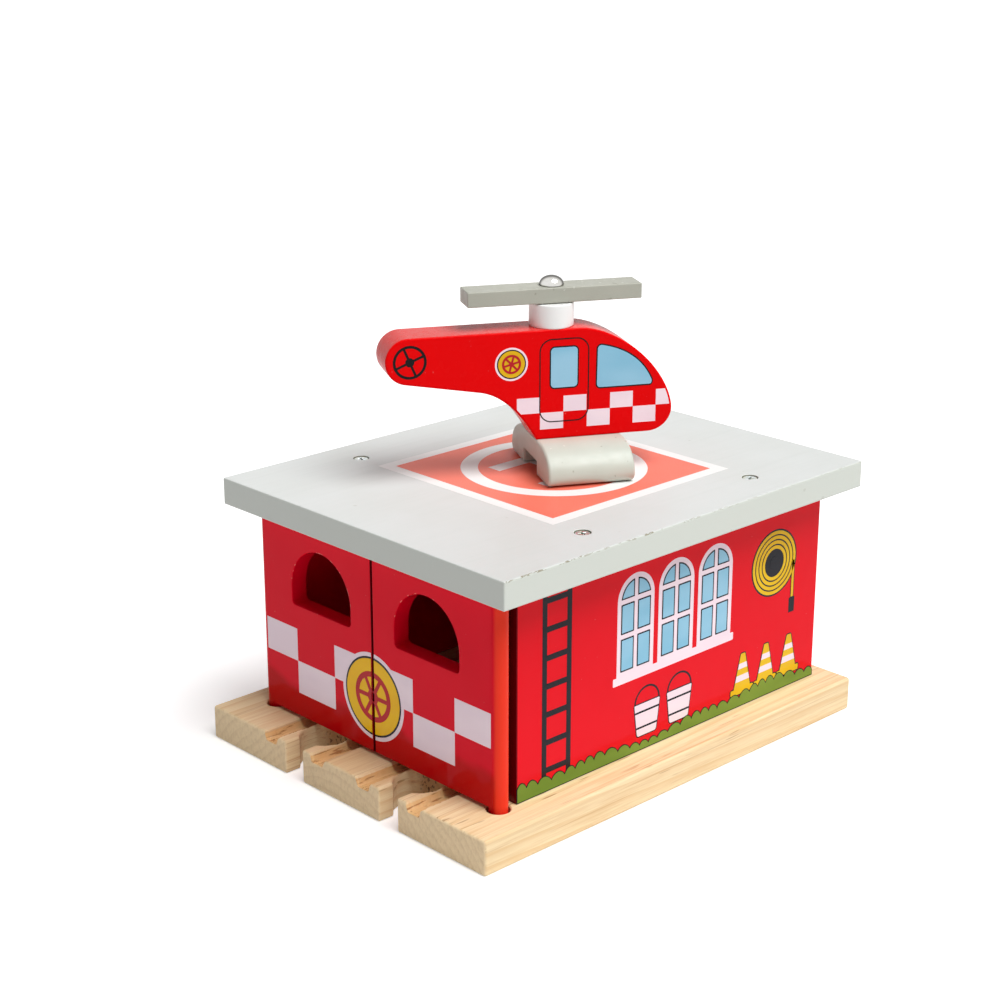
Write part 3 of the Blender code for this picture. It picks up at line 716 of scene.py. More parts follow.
def screw_metal(name, colour, tint, roughness, rim=0.0):
    """Plated metal: drifting tint, fine lines, a painted dark reflection on the rim by its slant, painted
    shade in the roof screws' recesses.
    """
    metal = Finish(name)
    fine = metal.noise(3200, 2.0, 0.6)
    slant = metal.add("ShaderNodeLayerWeight", {"Blend": 0.5}).outputs["Facing"]
    under = metal.math("SUBTRACT", TOP_OF_ROOF, metal.along(UP))
    recess = metal.product(metal.remap(under, 0.0003, 0.0006), metal.remap(under, 0.0016, 0.0014))
    tone = metal.coats(
        colour,
        (metal.remap(metal.noise(500, 2.0), 0.35, 0.65), tint),
        # Painted reflection: the rim darkened by its slant, as if mirroring dark surroundings.
        (metal.remap(slant, 0.30, 0.62, 0.0, rim), PAINTED_DARK_REFLECTION),
        # Painted shade: the roof screws' cross recesses darkened.
        (metal.product(recess, 0.8), PAINTED_RECESS_SHADE),
    )
    rough = metal.spread(fine, roughness * 0.8, roughness * 1.3)
    return metal.surface(tone, rough, metal.relief((fine, 0.12, 0.00003)), metal=1.0)


# The finishes themselves

PAINTED_GAP_SHADE = rgb(104, 0, 8)
RED_WALL = gloss_paint("red_gloss_along", rgb(236, 4, 28), rgb(227, 3, 24), (520, 14, 520))
# Painted shade: the side walls' front ends darkened in the gap behind the door posts.
repainted(RED_WALL, painted_wall_end_shade, PAINTED_GAP_SHADE)
RED_DOOR = gloss_paint("red_gloss_upright", rgb(236, 4, 38), rgb(228, 3, 34), (520, 520, 14), gloss=0.08)
# Painted reflection: the doors' front faces darker and deeper red below a wavering level.
repainted(RED_DOOR, painted_low_door_reflection, rgb(198, 0, 6))
# Painted highlight: an orange tone on the doors' round post edges.
repainted(RED_DOOR, painted_post_highlight, rgb(246, 70, 38))
# Pale chips that are partly a painted highlight along the door windows' arches.
repainted(RED_DOOR, arch_chips_and_highlight, rgb(250, 150, 140))
# Painted shade: the doors' meeting edges darkened in the gap between them.
repainted(RED_DOOR, painted_meeting_edge_shade, PAINTED_GAP_SHADE)
RED_CRAFT = gloss_paint("red_gloss_craft", rgb(236, 2, 6), rgb(230, 2, 5), 340, 0.22, 0.05)
# Painted reflection: a pale pink on the helicopter's rim.
repainted(RED_CRAFT, painted_rim_reflection, rgb(222, 92, 88))
GREY_ROOF = roof_paint()
GREY_SKID = satin_paint("grey_satin_skid", rgb(204, 209, 197), rgb(192, 198, 186))
GREY_BLADE = satin_paint("grey_satin_blade", rgb(178, 178, 165), rgb(166, 167, 154), specks=0.73)
WHITE_HUB = satin_paint("white_satin", rgb(250, 251, 249), rgb(240, 241, 239), 0.35, 0.84)
PINE = bare_pine()
ZINC = screw_metal("zinc_plate", (0.80, 0.86, 0.88, 1), (0.66, 0.66, 0.56, 1), 0.34)
CHROME = screw_metal("polished_steel", (0.80, 0.79, 0.76, 1), (0.74, 0.73, 0.69, 1), 0.07, 0.95)
INK_WHITE = ink("ink_white", rgb(255, 235, 244), rgb(248, 227, 238))
INK_BLACK = ink("ink_black", rgb(30, 30, 38), rgb(24, 24, 32))
INK_CRAFT_BLACK = ink("ink_craft_black", rgb(12, 8, 10), rgb(8, 5, 8), 0.2)
INK_YELLOW = ink("ink_yellow", rgb(240, 196, 18), rgb(228, 180, 8))
INK_DOOR_YELLOW = ink("ink_door_yellow", rgb(255, 204, 0), rgb(250, 192, 0))
INK_BLUE = ink("ink_blue", rgb(158, 208, 233), rgb(134, 194, 222), drift=(25, 25, 60))
INK_GREEN = ink("ink_green", rgb(126, 156, 60), rgb(108, 140, 48))
INK_RED = ink("ink_red", rgb(200, 28, 34), rgb(186, 20, 28))
INK_CORAL = ink("ink_coral", rgb(246, 126, 104), rgb(240, 118, 96), 0.4)
INK_PAD_WHITE = ink("ink_pad_white", rgb(248, 248, 246), rgb(242, 242, 240), 0.4)


# Base board

BASE_EDGE = 0.9
BASE_CORNER = 1.0
LANE = 24.1
SOCKET_RADIUS = 8.5
SOCKET_NECK_HALF = 4.4
SOCKET_CENTRE = 13.3
MOUTH_CORNER = 0.8
NECK_CORNER = 0.5
GROOVE_OFFSET = 12.25
GROOVE_DEPTH = 3.0
GROOVE_SIDE = np.array([(2.3, -GROOVE_DEPTH), (2.75, -2.75), (3.65, -0.55), (4.05, 0.0), (4.4, 1.2)])
GROOVE_STOP = 20.2
GROOVE_SEEDS = (7, 8, 11, 12)
FINE_LENGTH = 26
POST_HOLE_FLOOR = 3.5
POST_HOLE_EASE = 0.35


def base_outline(front, back, half, inset):
    """The board's plan with a track socket in each lane: the neck runs in to a circle about its middle."""
    open_turn = np.arcsin(SOCKET_NECK_HALF / SOCKET_RADIUS)
    points, radii = [], []
    for lane in (-LANE, LANE):
        middle = (lane, front + SOCKET_CENTRE)
        ring = arc(middle, SOCKET_RADIUS, 1.5 * np.pi - open_turn, open_turn - np.pi / 2, 73)
        points += [[(lane - SOCKET_NECK_HALF, front)], ring, [(lane + SOCKET_NECK_HALF, front)]]
        radii += [MOUTH_CORNER, NECK_CORNER] + [0] * (len(ring) - 2) + [NECK_CORNER, MOUTH_CORNER]
    points.append([(half, front), (half, back), (-half, back), (-half, front)])
    return rounded(np.concatenate(points), radii + [BASE_CORNER] * 4, 5, inset)


def groove_shape(middle, front, back, top, seed):
    """A wheel groove: its cross-section, carried along, widens by fibres that the cutter tore."""
    random = np.random.default_rng(seed)
    mirror = np.array([-1, 1])
    section = np.concatenate([GROOVE_SIDE[:1] * mirror, GROOVE_SIDE, GROOVE_SIDE[:0:-1] * mirror])
    fine_rows = np.linspace(front - OVERRUN, front + FINE_LENGTH, 90)
    rows = np.concatenate([fine_rows, np.linspace(front + FINE_LENGTH + 2, back, 30)])
    torn = random.normal(0, 1, (len(rows), 2))
    torn = np.clip(torn + np.roll(torn, 1, 0), -1.6, 2.4)
    near = np.exp(-np.maximum(rows - front, 0) / 3.5)[:, None]
    wide = torn * (0.06 + 0.16 * near)
    low = 0.10 * random.normal(0, 1, len(rows)) * (0.3 + near[:, 0])
    side = np.sign(section[:, 0])
    share = np.clip((section[:, 1] + GROOVE_DEPTH) / GROOVE_DEPTH, 0, 1)

    def loops_at(row):
        shift = side * np.where(side > 0, wide[row, 1], wide[row, 0]) * share
        height = top + section[:, 1] + low[row] * (1 - share)
        return [np.stack([middle + section[:, 0] + shift, np.full(len(section), rows[row]), height], 1)]

    return carried(loops_at, len(rows))


def head_hole(start, seat, far):
    """A screw hole from below: as wide as the head up to its seat, then a cone to the shank's width."""
    wide = [(0, start), (HEAD_HOLE, start), (HEAD_HOLE, seat)]
    return turned(wide + [(SHANK_HOLE, seat + 1.4), (SHANK_HOLE, far), (0, far)], 48)


def dress_base():
    """The base board: its outline as a board with rounded edges, then grooves and holes cut out."""
    front, back = BASE_LOW[1] / MM, BASE_HIGH[1] / MM
    half, _, top = BASE_HIGH / MM
    shape = slab([lambda inset: base_outline(front, back, half, inset)], 0, top, BASE_EDGE)
    piece = stand_in("base_board_pine", placed(shape), PINE, "base_board")
    middles = [lane + side * GROOVE_OFFSET for lane in (-LANE, LANE) for side in (-1, 1)]
    stop = back - GROOVE_STOP
    cutters = [groove_shape(middle, front, stop, top, seed) for middle, seed in zip(middles, GROOVE_SEEDS)]
    over, ease = top + OVERRUN, POST_HOLE_EASE
    hole = [(0, POST_HOLE_FLOOR), (POST_HOLE, POST_HOLE_FLOOR), (POST_HOLE, top - ease)]
    hole = turned(hole + [(POST_HOLE + ease, top), (POST_HOLE + 2 * ease, over), (0, over)], 64)
    cutters += [moved(hole, (side * POST_X, POST_Y)) for side in (-1, 1)]
    cutters += [moved(head_hole(-OVERRUN, 0.5, over), axis_of(screw)) for screw in BASE_SCREWS]
    carve(piece, cutters)


# Walls and roof

WALL_CORNER = 0.3
WALL_EDGE = 0.4
ROOF_CORNER = 0.6
ROOF_EDGE = 0.45
POST_HOLE_CAP = 3.4


def dress_walls():
    """The three walls: boards that are longer by the seat gap wherever they meet another piece."""
    thick, length, height = (WALL_HIGH - WALL_LOW) / MM
    back_low, back_high = node_box("back_wall")
    back_width, back_thick = (back_high - back_low)[:2] / MM
    gap = SEAT_GAP * MM
    for side, axes, corner, across, deep in (
        ("right", AXES_RIGHT, WALL_LOW[:2], length, thick),
        ("left", AXES_LEFT, (-WALL_LOW[0], WALL_HIGH[1]), length, thick),
        ("back", AXES_BACK, (back_high[0] + gap, back_low[1]), back_width + 2 * SEAT_GAP, back_thick),
    ):
        shape = board((across, height + 2 * SEAT_GAP, deep), WALL_CORNER, WALL_EDGE)
        shape = placed(shape, axes, (*corner, WALL_LOW[2] - gap))
        stand_in(f"{side}_wall_board", shape, RED_WALL, f"{side}_wall")


def dress_roof():
    """The roof panel with its countersunk screw holes and the blind holes for the door posts."""
    shape = placed(board((ROOF_HIGH - ROOF_LOW) / MM, ROOF_CORNER, ROOF_EDGE), AXES_TOP, ROOF_LOW)
    piece = stand_in("roof_board", shape, GREY_ROOF, "roof_panel")
    low, top = ROOF_LOW[2] / MM - OVERRUN, ROOF_HIGH[2] / MM
    sink = [(0, low), (SHANK_HOLE, low), (SHANK_HOLE, top - 2.1), (HEAD_HOLE, top - 0.5)]
    sink += [(HEAD_HOLE, top - 0.15), (HEAD_HOLE + 0.2, top + 0.02), (HEAD_HOLE + 0.4, top + OVERRUN)]
    sink = turned(sink + [(0, top + OVERRUN)], 64)
    cap = top - POST_HOLE_CAP
    hole = turned([(0, low), (POST_HOLE, low), (POST_HOLE, cap), (0, cap)], 64)
    cutters = [moved(sink, axis_of(screw)) for screw in ROOF_SCREWS]
    carve(piece, cutters + [moved(hole, (side * POST_X, POST_Y)) for side in (-1, 1)])


# Doors

DOOR_EDGE = 0.4
FACE_RING = 0.3
LEAF_LOW = BASE_HIGH[2] / MM + 1.2
LEAF_HIGH = ROOF_LOW[2] / MM - 1.0
PIN_RADIUS = 3.1
PIN_CHAMFER = 0.4
SILL_CORNER = 1.5


def door_window():
    """The window's outline: rounded lower corners and a half circle on top."""
    left, right = -WINDOW_FROM_POST - WINDOW_HALF, -WINDOW_FROM_POST + WINDOW_HALF
    corners = [(left, WINDOW_SILL), (right, WINDOW_SILL), (right, WINDOW_SPRING), (left, WINDOW_SPRING)]
    sill = rounded(corners, [SILL_CORNER, SILL_CORNER, 0, 0])[:-2]
    return np.concatenate([sill, arc((-WINDOW_FROM_POST, WINDOW_SPRING), WINDOW_HALF, 0, np.pi, 65)])


def dress_door(name, side):
    """One door: at a depth h sin t its post edge stands out by h cos t, and its other edges are eased."""
    free = POST_X - DOOR_LOW[0] / MM
    window = door_window()
    turns = np.radians(np.concatenate([[-90], np.linspace(-90, 90, 41), [90]]))
    ring = np.where(np.arange(len(turns)) % (len(turns) - 1) == 0, FACE_RING, 0.0)
    depth = DOOR_HALF * np.sin(turns)
    over = np.clip(np.abs(depth) - (DOOR_HALF - DOOR_EDGE), 0, DOOR_EDGE)
    inset = DOOR_EDGE - np.sqrt(np.maximum(DOOR_EDGE**2 - over**2, 0)) + ring
    reach = DOOR_HALF * np.cos(turns) - ring

    def loops_at(row):
        edge = inset[row]
        left, right, low, high = edge - free, reach[row], LEAF_LOW + edge, LEAF_HIGH - edge
        outer = np.array([[left, low], [right, low], [right, high], [left, high]])
        hole = moved_in(window, -0.75 * edge)[::-1]
        place = (side * POST_X, POST_Y + depth[row], 0)
        return [loop @ np.array([[side, 0, 0], [0, 0, 1]]) + place for loop in (outer, hole)]

    low, high, narrow = DOOR_LOW[2] / MM, DOOR_HIGH[2] / MM, PIN_RADIUS - PIN_CHAMFER
    pin = [(0, low), (narrow, low), (PIN_RADIUS, low + PIN_CHAMFER)]
    pin = turned(pin + [(PIN_RADIUS, high - PIN_CHAMFER), (narrow, high), (0, high)], 64)
    shape = joined([carried(loops_at, len(turns)), moved(pin, (side * POST_X, POST_Y))])
    stand_in(name + "_leaf", placed(shape), RED_DOOR, name)


# Screws

HEAD_RADIUS = 2.5
HEAD_HEIGHT = 1.6
HEAD_SUNK = 0.15
SHANK_RADIUS = 1.3
POINT_LENGTH = 1.4
RECESS_LENGTH = 2.9
RECESS_WIDTH = 0.62
RECESS_DEPTH = 0.75
RECESS_SOFTNESS = 0.16
FIRST_SPIN = 1.18
NEXT_SPIN = 0.83


def cross_recess(across, up, height):
    """Relief of a cross recess in a head: two crossed bars with soft sides, deepest in the middle."""

    def bar_share(first, second):
        sides = (RECESS_LENGTH / 2 - np.abs(first), RECESS_WIDTH / 2 - np.abs(second))
        return np.prod([np.clip(distance / RECESS_SOFTNESS + 0.5, 0, 1) for distance in sides], 0)

    middle = np.clip(1 - np.hypot(across, up) / RECESS_LENGTH * 0.9, 0.4, 1)
    on_top = height > -HEAD_HEIGHT / 3
    return RECESS_DEPTH * np.maximum(bar_share(across, up), bar_share(up, across)) * middle * on_top


def flat_screw(length):
    """A countersunk screw from the middle of its head down: flat top, sloped side, shank and point."""
    top = [(radius, 0.0) for radius in np.linspace(0, HEAD_RADIUS - 0.2, 34)]
    rim = [(HEAD_RADIUS - 0.08, -0.03), (HEAD_RADIUS, -0.12), (HEAD_RADIUS, -0.22)]
    shank = [(SHANK_RADIUS, -HEAD_HEIGHT), (SHANK_RADIUS, POINT_LENGTH - length), (0, -length)]
    return turned(top + rim + shank, 88, cross_recess)


def dress_screws():
    """All twelve countersunk screws in their heads' places, each turned further than the last."""
    for number, node in enumerate(ROOF_SCREWS + BASE_SCREWS + SKID_SCREWS):
        low, high = node_box(node)
        from_above = node in ROOF_SCREWS
        spin = FIRST_SPIN + number * NEXT_SPIN
        turn = np.array([[np.cos(spin), np.sin(spin), 0], [-np.sin(spin), np.cos(spin), 0], [0, 0, 1]])
        level = high[2] - HEAD_SUNK * MM if from_above else low[2]
        place = (*(low + high)[:2] / 2, level)
        axes = turn @ (AXES_TOP if from_above else AXES_BELOW)
        shape = placed(flat_screw((high[2] - low[2]) / MM), axes, place)
        stand_in(node + "_zinc", shape, ZINC, node, SCREW_SHARP_ANGLE)


# Helicopter: forward from the cabin's middle, up from the bottom of the fuselage

CRAFT_LENGTH = 99.8
CRAFT_HEIGHT = 37.8
CRAFT_EDGE = 0.6
NOSE_REACH = 40.1
NOSE_LENGTH = 32.7
NOSE_POWER = 1.65
CHIN_HEIGHT = 8.0
CHIN_LENGTH = 8.6
TAIL_RADIUS = 7.9
BELLY = ((-8.1, 0.0), (-16.8, 15.5), (-27.3, 17.6))
SKID_HALF = 23.6
SKID_CROWN_HALF = 10.5
SKID_FOOT = 3.0
SKID_BACK = -8.2
SKID_FRONT = 22.0
SKID_EDGE = 0.9
SKID_HOLE = (-2, 0.3, 20)
CHANNEL_HALF = 7.9
CHANNEL_DEPTH = 4.7
HUB_RADIUS = 7.6
HUB_LOW_EDGE = 0.4
HUB_TOP_EDGE = 0.5
BLADE_TIP = np.array([30.2, 5.25])
BLADE_CORNER = 0.3
BLADE_EDGE = 0.35
BLADE_BORE = 2.1
DOME_RADIUS = 4.2
DOME_HEIGHT = 3.1
ROTOR_SHANK_RADIUS = 1.7
ROTOR_SHANK_LENGTH = 24.5


def nose_reach(height):
    """How far forward the cabin reaches at a height: a superellipse above its chin, an ellipse below."""
    above = np.clip((height - CHIN_HEIGHT) / (CRAFT_HEIGHT - CHIN_HEIGHT), 0, 1)
    below = np.clip((CHIN_HEIGHT - height) / CHIN_HEIGHT, 0, 1)
    upper = NOSE_LENGTH * ((1 - above**NOSE_POWER) ** (1 / NOSE_POWER) - 1)
    return NOSE_REACH + upper + CHIN_LENGTH * (np.sqrt(1 - below**2) - 1)


def fuselage_outline():
    """Side view: chin, nose curve, round tail end and the hollow of the belly, anticlockwise."""
    chin = (NOSE_REACH - CHIN_LENGTH, CHIN_HEIGHT)
    chin = arc(chin, (CHIN_LENGTH, CHIN_HEIGHT), -np.pi / 2, 0, 20)[:-1]
    turn = np.linspace(np.pi / 2, 0, 90)
    forward = NOSE_REACH - NOSE_LENGTH + NOSE_LENGTH * np.sin(turn) ** (2 / NOSE_POWER)
    up = CHIN_HEIGHT + (CRAFT_HEIGHT - CHIN_HEIGHT) * np.cos(turn) ** (2 / NOSE_POWER)
    centre = np.array([NOSE_REACH - CRAFT_LENGTH + TAIL_RADIUS, CRAFT_HEIGHT - TAIL_RADIUS])
    away = centre - BELLY[2]
    lean = np.arctan2(away[1], -away[0])
    lift = np.arcsin(TAIL_RADIUS / np.hypot(*away))
    tail = arc(centre, TAIL_RADIUS, np.pi / 2, 1.5 * np.pi - lean + lift, 48)
    return np.concatenate([chin, np.stack([forward, up], 1), tail, quadratic(np.linspace(1, 0, 48), *BELLY)])


def skid_outline(inset):
    """Cross-section of the skid: quarter-ellipse sides from a flat crown to round feet, and a channel."""
    rise = (SKID_HIGH[2] - SKID_LOW[2]) / MM + SEAT_GAP - SKID_FOOT
    foot = arc((SKID_HALF - SKID_FOOT, SKID_FOOT), SKID_FOOT, -np.pi / 2, 0, 14)
    side = arc((SKID_CROWN_HALF, SKID_FOOT), (SKID_HALF - SKID_CROWN_HALF, rise), 0, np.pi / 2, 36)[1:]
    right = np.concatenate([foot, side])
    half, deep = CHANNEL_HALF, CHANNEL_DEPTH
    channel = [(-half, 0), (-half, deep), (half, deep), (half, 0)]
    corners = np.concatenate([right, right[::-1] * [-1, 1], channel])
    return rounded(corners, [0] * (2 * len(right)) + [0.7, 0.3, 0.3, 0.7], 5, inset)


def dress_skid():
    """The skid block with the two countersunk holes in its channel."""
    shape = slab([skid_outline], SKID_BACK, SKID_FRONT, SKID_EDGE, 5)
    shape = placed(shape, AXES_CRAFT_SECTION, (CRAFT[0], CRAFT[1], SKID_LOW[2]))
    piece = stand_in("skid_grey", shape, GREY_SKID, "helicopter_skid")
    level = node_box(SKID_SCREWS[0])[0][2] / MM
    carve(piece, [moved(head_hole(*SKID_HOLE), axis_of(screw), level) for screw in SKID_SCREWS])


def dress_rotor():
    """The hub, the rotor blade with its bore, and the domed screw that it turns on."""
    height = (HUB_HIGH[2] - HUB_LOW[2]) / MM + SEAT_GAP
    flat = HUB_RADIUS - 0.8
    under, top = [(0, 0), (flat, 0)], [(flat, height), (0, height)]
    low_edge = arc((HUB_RADIUS - HUB_LOW_EDGE, HUB_LOW_EDGE), HUB_LOW_EDGE, -np.pi / 2, 0, 6)
    top_edge = arc((HUB_RADIUS - HUB_TOP_EDGE, height - HUB_TOP_EDGE), HUB_TOP_EDGE, 0, np.pi / 2, 6)
    side = [(HUB_RADIUS, 0.7), (HUB_RADIUS, height - 0.8)]
    hub = turned(np.concatenate([under, low_edge, side, top_edge, top]))
    hub = placed(hub, AXES_TOP, (*HUB_MIDDLE, HUB_LOW[2] - SEAT_GAP * MM))
    stand_in("hub_white", hub, WHITE_HUB, "helicopter_hub")
    low, high = [corner[2] for corner in node_box("rotor_blade")]
    bore = circle((0, 0), BLADE_BORE, 48)[::-1]
    blade = [lambda inset: rectangle(-BLADE_TIP, BLADE_TIP, BLADE_CORNER, inset), bore]
    blade = placed(slab(blade, 0, (high - low) / MM, BLADE_EDGE), AXES_CRAFT, (*HUB_MIDDLE, low))
    stand_in("rotor_bar", blade, GREY_BLADE, "rotor_blade")
    dome = arc((0, 0), (DOME_RADIUS, DOME_HEIGHT), np.pi / 2, 0, 30)
    shank = [(DOME_RADIUS - 0.2, 0), (ROTOR_SHANK_RADIUS, 0), (ROTOR_SHANK_RADIUS, 2 - ROTOR_SHANK_LENGTH)]
    screw = turned(np.concatenate([dome, shank, [(0, -ROTOR_SHANK_LENGTH)]]))
    highest = node_box("rotor_screw")[1][2]
    screw = placed(screw, AXES_TOP, (*HUB_MIDDLE, highest - DOME_HEIGHT * MM))
    stand_in("dome_screw", screw, CHROME, "rotor_screw", SCREW_SHARP_ANGLE)


def dress_helicopter():
    """The fuselage, then the skid and the rotor with its hub and screw."""
    shape = slab([fuselage_outline()], -FUSELAGE_HALF, FUSELAGE_HALF, CRAFT_EDGE)
    stand_in("fuselage_red", placed(shape, AXES_STARBOARD_FACE, CRAFT), RED_CRAFT, "helicopter_fuselage")
    dress_skid()
    dress_rotor()


# Prints: a motif is its items by ink, and an item is its level, in print steps, and its outlines

PRINT_STEP = 0.035
PRINT_SINK = 0.05


def printed(name, finish, node, axes, origin, items):
    """A print of one ink: each item is a thin slab that stands as many steps proud as its level says."""
    shapes = [slab(loops, -PRINT_SINK, level * PRINT_STEP) for level, loops in items]
    add_piece(name, placed(joined(shapes), axes, origin), finish, node)


def print_motifs(name, inks, node, axes, origin, motifs):
    """Print several motifs as one piece for each ink."""
    for ink_name, finish in inks.items():
        items = [item for motif in motifs for item in motif.get(ink_name, [])]
        printed(f"{name}_{ink_name}", finish, node, axes, origin, items)


def wheel(centre, radius, spokes, start, line, level):
    """A spoked wheel: rim, spokes, each a little higher than the one before, and a hub."""
    items = [(level, hoop(centre, radius, radius * line, 72))]
    for spoke in range(spokes):
        turn = start + spoke / spokes * 2 * np.pi
        tip = np.array(centre) + radius * 0.93 * np.array([np.cos(turn), np.sin(turn)])
        items.append((level + 0.06 + 0.01 * spoke, [bar(centre, tip, radius * line * 0.9)]))
    return items + [(level + 0.2, [circle(centre, radius * 0.27, 40)])]


# Prints on the doors: checks, and a roundel whose halves meet at the gap

PRINT_EDGE = 0.75
CHECK_EDGES = (PRINT_EDGE, 19.7, 39.5, POST_X)
CHECK_LEVELS = (33.6, 21.9, 33.6)
CHECK_HEIGHT = 11.8
ROUNDEL_HEIGHT = 33.0
ROUNDEL_DISCS = (("halo", INK_WHITE, 15.3), ("line", INK_BLACK, 13.9), ("disc", INK_DOOR_YELLOW, 13.2))
WHEEL_RADIUS = 8.8
WHEEL_INNER_RADIUS = 6.9
SPOKE_REACH = 7.6
SPOKE_WIDTH = 1.5
WHEEL_HUB_RADIUS = 2.6


def half_disc(radius, side):
    """The part of a disc on one door, closed by a straight line beside the gap."""
    turn = np.linspace(-np.pi / 2, np.pi / 2, 61)
    across, up = np.maximum(radius * np.cos(turn), PRINT_EDGE), ROUNDEL_HEIGHT + radius * np.sin(turn)
    outline = (across > PRINT_EDGE + 0.0001) | (np.abs(turn) > np.pi / 2 - 0.001)
    points = np.stack([across, up], 1)[outline]
    return points if side > 0 else (points * [-1, 1])[::-1]


def roundel_wheel(side):
    """Half of the roundel's wheel: rim, three spokes and hub."""
    rim = np.concatenate([half_disc(WHEEL_RADIUS, side), half_disc(WHEEL_INNER_RADIUS, side)[::-1]])
    items = [(5, [rim])]
    for number, spoke in enumerate(np.radians([-60, 0, 60])):
        root = PRINT_EDGE + 0.01
        start = (side * root, ROUNDEL_HEIGHT + root * np.tan(spoke))
        tip = (side * SPOKE_REACH * np.cos(spoke), ROUNDEL_HEIGHT + SPOKE_REACH * np.sin(spoke))
        items.append((5.1 + 0.05 * number, [bar(*sorted((start, tip)), SPOKE_WIDTH)]))
    return items + [(5.4, [half_disc(WHEEL_HUB_RADIUS, side)])]


def print_door(name, side):
    """Checks on a door and its half of the roundel, disc over disc under the wheel."""
    checks = []
    for inner, outer, level in zip(CHECK_EDGES, CHECK_EDGES[1:], CHECK_LEVELS):
        left, right = sorted((side * inner, side * outer))
        checks.append((1, [rectangle((left, level), (right, level + CHECK_HEIGHT))]))
    prints = [("checks", INK_WHITE, checks)]
    for level, (part, finish, radius) in enumerate(ROUNDEL_DISCS, 2):
        prints.append((f"roundel_{part}", finish, [(level, [half_disc(radius, side)])]))
    prints.append(("roundel_wheel", INK_RED, roundel_wheel(side)))
    for part, finish, items in prints:
        printed(f"{name}_{part}", finish, name, AXES_FRONT, (0, DOOR_LOW[1], 0), items)


# Picture on the side walls

WALL_INKS = dict(white=INK_WHITE, black=INK_BLACK, blue=INK_BLUE, yellow=INK_YELLOW, green=INK_GREEN)
OUTLINE = 0.4
WALL_WINDOWS = (53.6, 73.2, 92.8)
PANE_HALF = 8.7
PANE_LOW = 29.0
PANE_SPRING = 55.0
FRAME_WIDTH = 1.7
BAR_HALF = 0.8
PANE_LINE = 0.5
SILL_REACH = 1.6
LADDER_LEFT = 11.0
LADDER_RIGHT = 24.0
LADDER_LOW = 1.2
RAIL_WIDTH = 2.1
RUNGS = 7
REEL = (124.0, 49.0)
REEL_RADIUS = 12.2
HOSE_WIDTH = 1.25
HOSE_PITCH = 1.75
HOSE_X = 134.6
CONES = (109.0, 121.5, 134.0)
CONE_HALF = 4.4
CONE_TIP_HALF = 1.1
CONE_LOW = 6.6
CONE_HEIGHT = 13.0
CONE_BANDS = ((9.3, 11.6), (14.0, 16.0))
PAILS = (60.0, 76.0)
PAIL_LOW = 5.0
PAIL_TOP = 16.5
PAIL_LOW_HALF = 4.6
PAIL_TOP_HALF = 6.2
HEDGE_HEIGHT = 7.0
HEDGE_BUMP = 5.1


def wall_window(centre):
    """A white arched frame, and panes with dark lines: two rows of two under a fan of two."""
    inner = PANE_HALF - FRAME_WIDTH
    middle = (PANE_LOW + PANE_SPRING) / 2 + 1.0
    rows = ((PANE_LOW + FRAME_WIDTH, middle - BAR_HALF), (middle + BAR_HALF, PANE_SPRING - BAR_HALF))
    sill = [(centre - PANE_HALF, PANE_LOW), (centre + PANE_HALF, PANE_LOW)]
    frame_loop = np.concatenate([sill, arc((centre, PANE_SPRING), PANE_HALF, 0, np.pi, 40)])
    fan_start = np.arcsin(BAR_HALF / inner)
    lines, panes = [], []
    for side in (-1, 1):
        left, right = sorted((centre + side * BAR_HALF, centre + side * inner))
        for low, high in rows:
            lines.append((2, [rectangle((left, low), (right, high), 0.3)]))
            panes.append((3, [rectangle((left, low), (right, high), 0.2 + PANE_LINE, PANE_LINE)]))
        curve = arc((centre, PANE_SPRING), (side * inner, inner), fan_start, np.pi / 2 - fan_start, 24)
        fan = np.concatenate([[(centre + side * BAR_HALF, PANE_SPRING + BAR_HALF)], curve])[::side]
        lines.append((2, [fan]))
        panes.append((3, [moved_in(fan, PANE_LINE)]))
    return {"white": [(1, [frame_loop])], "black": lines, "blue": panes}


def wall_sill():
    """The one sill under all windows."""
    reach = PANE_HALF + SILL_REACH
    low, high = (WALL_WINDOWS[0] - reach, PANE_LOW - 2.6), (WALL_WINDOWS[-1] + reach, PANE_LOW + 0.2)
    return {"white": [(1.2, [rectangle(low, high, 0.4)])]}


def ladder(top):
    """A ladder up to a level: two rails and rungs between them."""
    rails = (LADDER_LEFT, LADDER_RIGHT - RAIL_WIDTH)
    items = [(1, [rectangle((left, LADDER_LOW), (left + RAIL_WIDTH, top), 0.3)]) for left in rails]
    for level in np.linspace(LADDER_LOW + 6, top - 6, RUNGS):
        items.append((1.15, [rectangle((LADDER_LEFT + 1, level - 1.0), (LADDER_RIGHT - 1, level + 1.0))]))
    return {"black": items}


def hose_reel():
    """Four turns of yellow hose on a dark disc, and the hose's end with its nozzle."""
    radii = REEL_RADIUS - 0.6 - HOSE_PITCH * np.arange(4)
    hose = [(2, hoop(REEL, radius, HOSE_WIDTH)) for radius in radii]
    hose.append((2, [bar((HOSE_X, 47.5), (HOSE_X, 33.8), 1.2)]))
    dark = [(1, [circle(REEL, REEL_RADIUS)]), (3, [circle(REEL, 2.4)])]
    for level, high, low, width in ((1, 48.0, 33.0, 1.9), (1.1, 33.6, 28.0, 3.1)):
        dark.append((level, [bar((HOSE_X, high), (HOSE_X, low), width)]))
    return {"yellow": hose, "black": dark}


